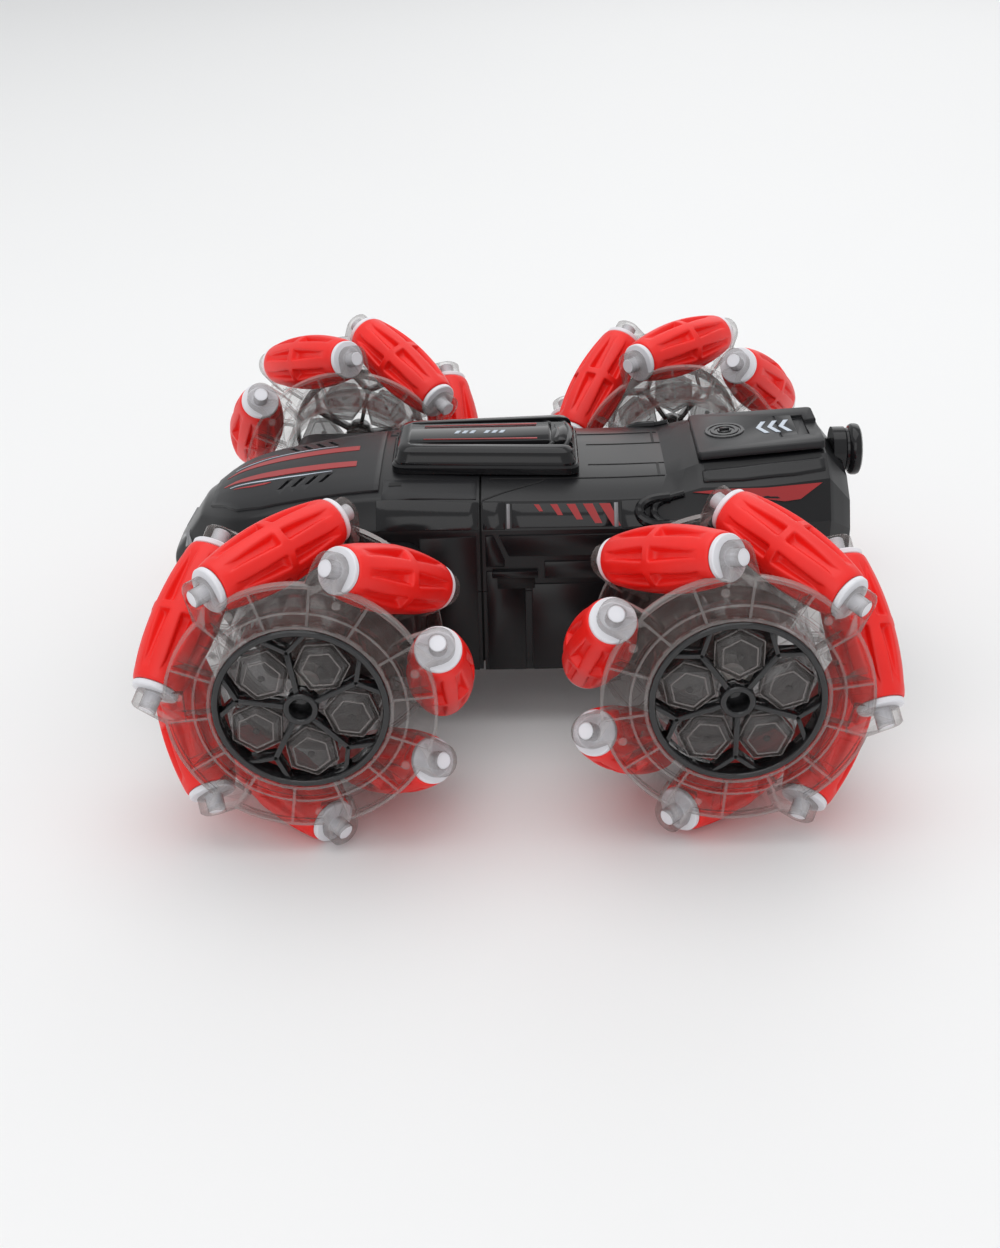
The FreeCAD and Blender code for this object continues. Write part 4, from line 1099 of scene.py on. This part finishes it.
def add_haunch():
    """Double C-shaped lips where the rear haunch begins, and a red kite printed along it."""
    for tag, side in SIDES:
        lips = [tube(on_side(side, [band_point(x - back, along, 0.5) for x, along in LIP]), 1.7 - back * 0.12)
                for back in (0.0, 4.4)]
        add_piece(f"fender_lip_{tag}", joined(*lips), GLOSS)
        kite = loft([on_side(side, [band_point(x, along, out) for x, along in KITE]) for out in (0.1, 0.42)])
        add_piece(f"kite_red_{tag}", kite, DECAL_RED)


def add_tail():
    """Flanged tail pipe, and a rear panel with lamps."""
    x0, _, z0, x1, _, z1 = box_mm("exhaust_tip")
    outer, height, length = (z1 - z0) / 2, (z0 + z1) / 2, x1 - x0
    profile = [(4.2, 3.0), (4.2, 0.7), (4.7, 0.1), (5.4, 0.0), (outer - 1.1, 0.0), (outer - 0.3, 0.5),
               (outer, 1.3), (outer, 2.6), (outer - 0.4, 3.4), (outer - 1.3, 3.9), (outer - 1.4, 4.6),
               (outer - 0.9, 5.1), (outer - 0.9, length + 3), (0, length + 3), (0, 3.0)]
    turn = Matrix.Translation((x0, 0, height)) @ Matrix.Rotation(math.radians(90), 4, "Y")
    add_piece("tail_pipe", moved(lathe(profile, 48), turn), GLOSS, "exhaust_tip")
    add_piece("pipe_bore", moved(disc(4.1, 2.2, 2.9, 32), turn), MATT)
    lamps = [slab(rectangle(-104.5, -103.4, side * 12.4, side * 20.4), 60, 64.5) for _, side in SIDES]
    grille = [slab(rectangle(-104.4, -103.4, side * 3, side * 19), 49, 55.5) for _, side in SIDES]
    add_piece("tail_lamps", joined(*lamps), DECAL_RED, width=0.3)
    add_piece("tail_grille", joined(*grille), MATT, width=0.3)


HEAD_LAMP = [(108.6, 4.2, 53.6), (105.2, 8.6, 58.6), (104.2, 15.2, 56.0), (107.6, 9.6, 51.6)]


def add_nose():
    """Lamps and an air intake on the sloping nose."""
    lamps = [loft([[(x + out, side * (y + 0.4 * out), z + 0.4 * out) for x, y, z in HEAD_LAMP]
                   for out in (-1.2, 0.75)]) for _, side in SIDES]
    add_piece("head_lamps", joined(*lamps), EDGE, width=0.3)
    intake = [slab(rectangle(104.2 + k, 105.0 + k, -9.5 + k, 9.5 - k), z, z + 1.1)
              for k, z in ((0.0, 40.6), (1.2, 42.6))]
    add_piece("nose_intake", joined(*intake), MATT, width=0.2)


CASE_LENGTH, CASE_NEAR, CASE_WALL, CASE_BORE = 49.35, 36.2, 1.4, 3.25
AXLE_X, AXLE_Z = 60, 47.5


def gear_case(name, sx, sy):
    """One bevelled gear case, open towards the body, with a hole for the axle."""
    _, _, z0, x1, y1, z1 = box_mm("gearbox_housings")
    x0 = x1 - CASE_LENGTH
    middle = (x0 + x1) / 2
    plan = rounded_plan([(x0, z0), (x1, z0), (x1, z1), (x0, z1)], 7)
    rings = [[(sx * x, sy * y, z) for x, z in plan] for y in (CASE_NEAR, CASE_NEAR + 8, y1 - 2.2)]
    for y, wide, tall in ((y1 - 0.8, 0.97, 0.95), (y1, 0.92, 0.88)):
        rings.append([(sx * ((x - middle) * wide + middle), sy * y, (z - AXLE_Z) * tall + AXLE_Z)
                      for x, z in plan])
    points, faces = loft(rings)
    closed = [f for f in faces if not (len(f) == len(plan) and min(f) == 0)]
    obj = new_object(name, new_mesh(name, points, closed))
    wall = obj.modifiers.new("wall", "SOLIDIFY")
    wall.thickness, wall.offset = CASE_WALL * MM, -1
    hole = disc(CASE_BORE, -4, 4, 32)
    across = Matrix.Translation((sx * AXLE_X, sy * y1, AXLE_Z)) @ Matrix.Rotation(math.radians(90), 4, "X")
    return carved(obj, moved(hole, across))


def add_gear_cases():
    """A gear case at each wheel; the first stands in for the CAD node of all four."""
    for end, sx in (("front", 1), ("rear", -1)):
        for tag, sy in SIDES:
            replaced = ["gearbox_housings"] if (end, tag) == ("front", "left") else []
            case = gear_case(f"gear_case_{end}_{tag}", sx, sy)
            finish_piece(case, BODY, *replaced, slot="housing_black", angle=40)


CAD_FINISH = {
    "axle_gear": NYLON, "motor_pinion": STEEL, "drive_motors": STEEL, "battery_pack": BATTERY,
    "battery_door": MATT, "circuit_board": BOARD, "power_switch": MATT, "shell_screws": STEEL,
}


def finish_frame():
    """Materials for the CAD nodes that stay shown."""
    for name, obj in frame["nodes"].items():
        for start, mat in CAD_FINISH.items():
            if name.startswith(start):
                obj.data.materials.clear()
                obj.data.materials.append(mat)


add_pod()
add_deck()
add_haunch()
add_tail()
add_nose()
add_gear_cases()
finish_frame()


# ------------------------------------------------------------------ stage, lights, camera

FLOOR_HALF = 4000


def add_stage():
    plan = rectangle(-FLOOR_HALF, FLOOR_HALF, -FLOOR_HALF, FLOOR_HALF)
    floor = new_object("floor", new_mesh("floor", *slab(plan, -2, 0), smooth=False))
    mat = material("floor_paper", (0.86, 0.86, 0.86), 0.6)
    vary(mat, object_noise(mat, 6), 0.55, 0.7, "Roughness")
    floor.data.materials.append(mat)


def add_light(name, place, target, power, width):
    data = bpy.data.lights.new(name, "AREA")
    data.energy, data.size = power, width
    lamp = bpy.data.objects.new(name, data)
    bpy.context.scene.collection.objects.link(lamp)
    lamp.location = place
    lamp.rotation_euler = (Vector(target) - Vector(place)).to_track_quat("-Z", "Y").to_euler()


def add_lights():
    """Three soft lamps and a pale sky."""
    add_light("overhead", (0.1, -0.1, 1.5), (0, 0, 0), 9, 1.5)
    add_light("front", (0.4, 1.6, 1.1), (0, 0, 0.05), 5, 1.2)
    add_light("back", (-0.5, -1.6, 0.9), (0, 0, 0.05), 3.5, 1.2)
    world = bpy.data.worlds.new("studio")
    world.use_nodes = True
    sky = world.node_tree.nodes["Background"]
    sky.inputs["Color"].default_value = (0.93, 0.94, 0.95, 1)
    sky.inputs["Strength"].default_value = 0.74
    bpy.context.scene.world = world
    bpy.context.scene.view_settings.view_transform = "Standard"


CAMERA_PLACE = (-0.00175, 0.526, 0.28445)
CAMERA_YAW, CAMERA_PITCH, CAMERA_ROLL = 0.0153, 0.4691, -0.0246


def add_camera():
    """Camera in front of the car's left side, a little above it, at the photograph's angle."""
    data = bpy.data.cameras.new("camera")
    data.lens, data.sensor_width, data.sensor_fit = 50.47, 36, "AUTO"
    camera = bpy.data.objects.new("camera", data)
    bpy.context.scene.collection.objects.link(camera)
    turn = Matrix.Rotation(math.pi + CAMERA_YAW, 4, "Z") @ Matrix.Rotation(math.pi / 2 - CAMERA_PITCH, 4, "X")
    camera.matrix_world = Matrix.Translation(CAMERA_PLACE) @ turn @ Matrix.Rotation(CAMERA_ROLL, 4, "Z")
    bpy.context.scene.camera = camera


add_stage()
add_lights()
add_camera()
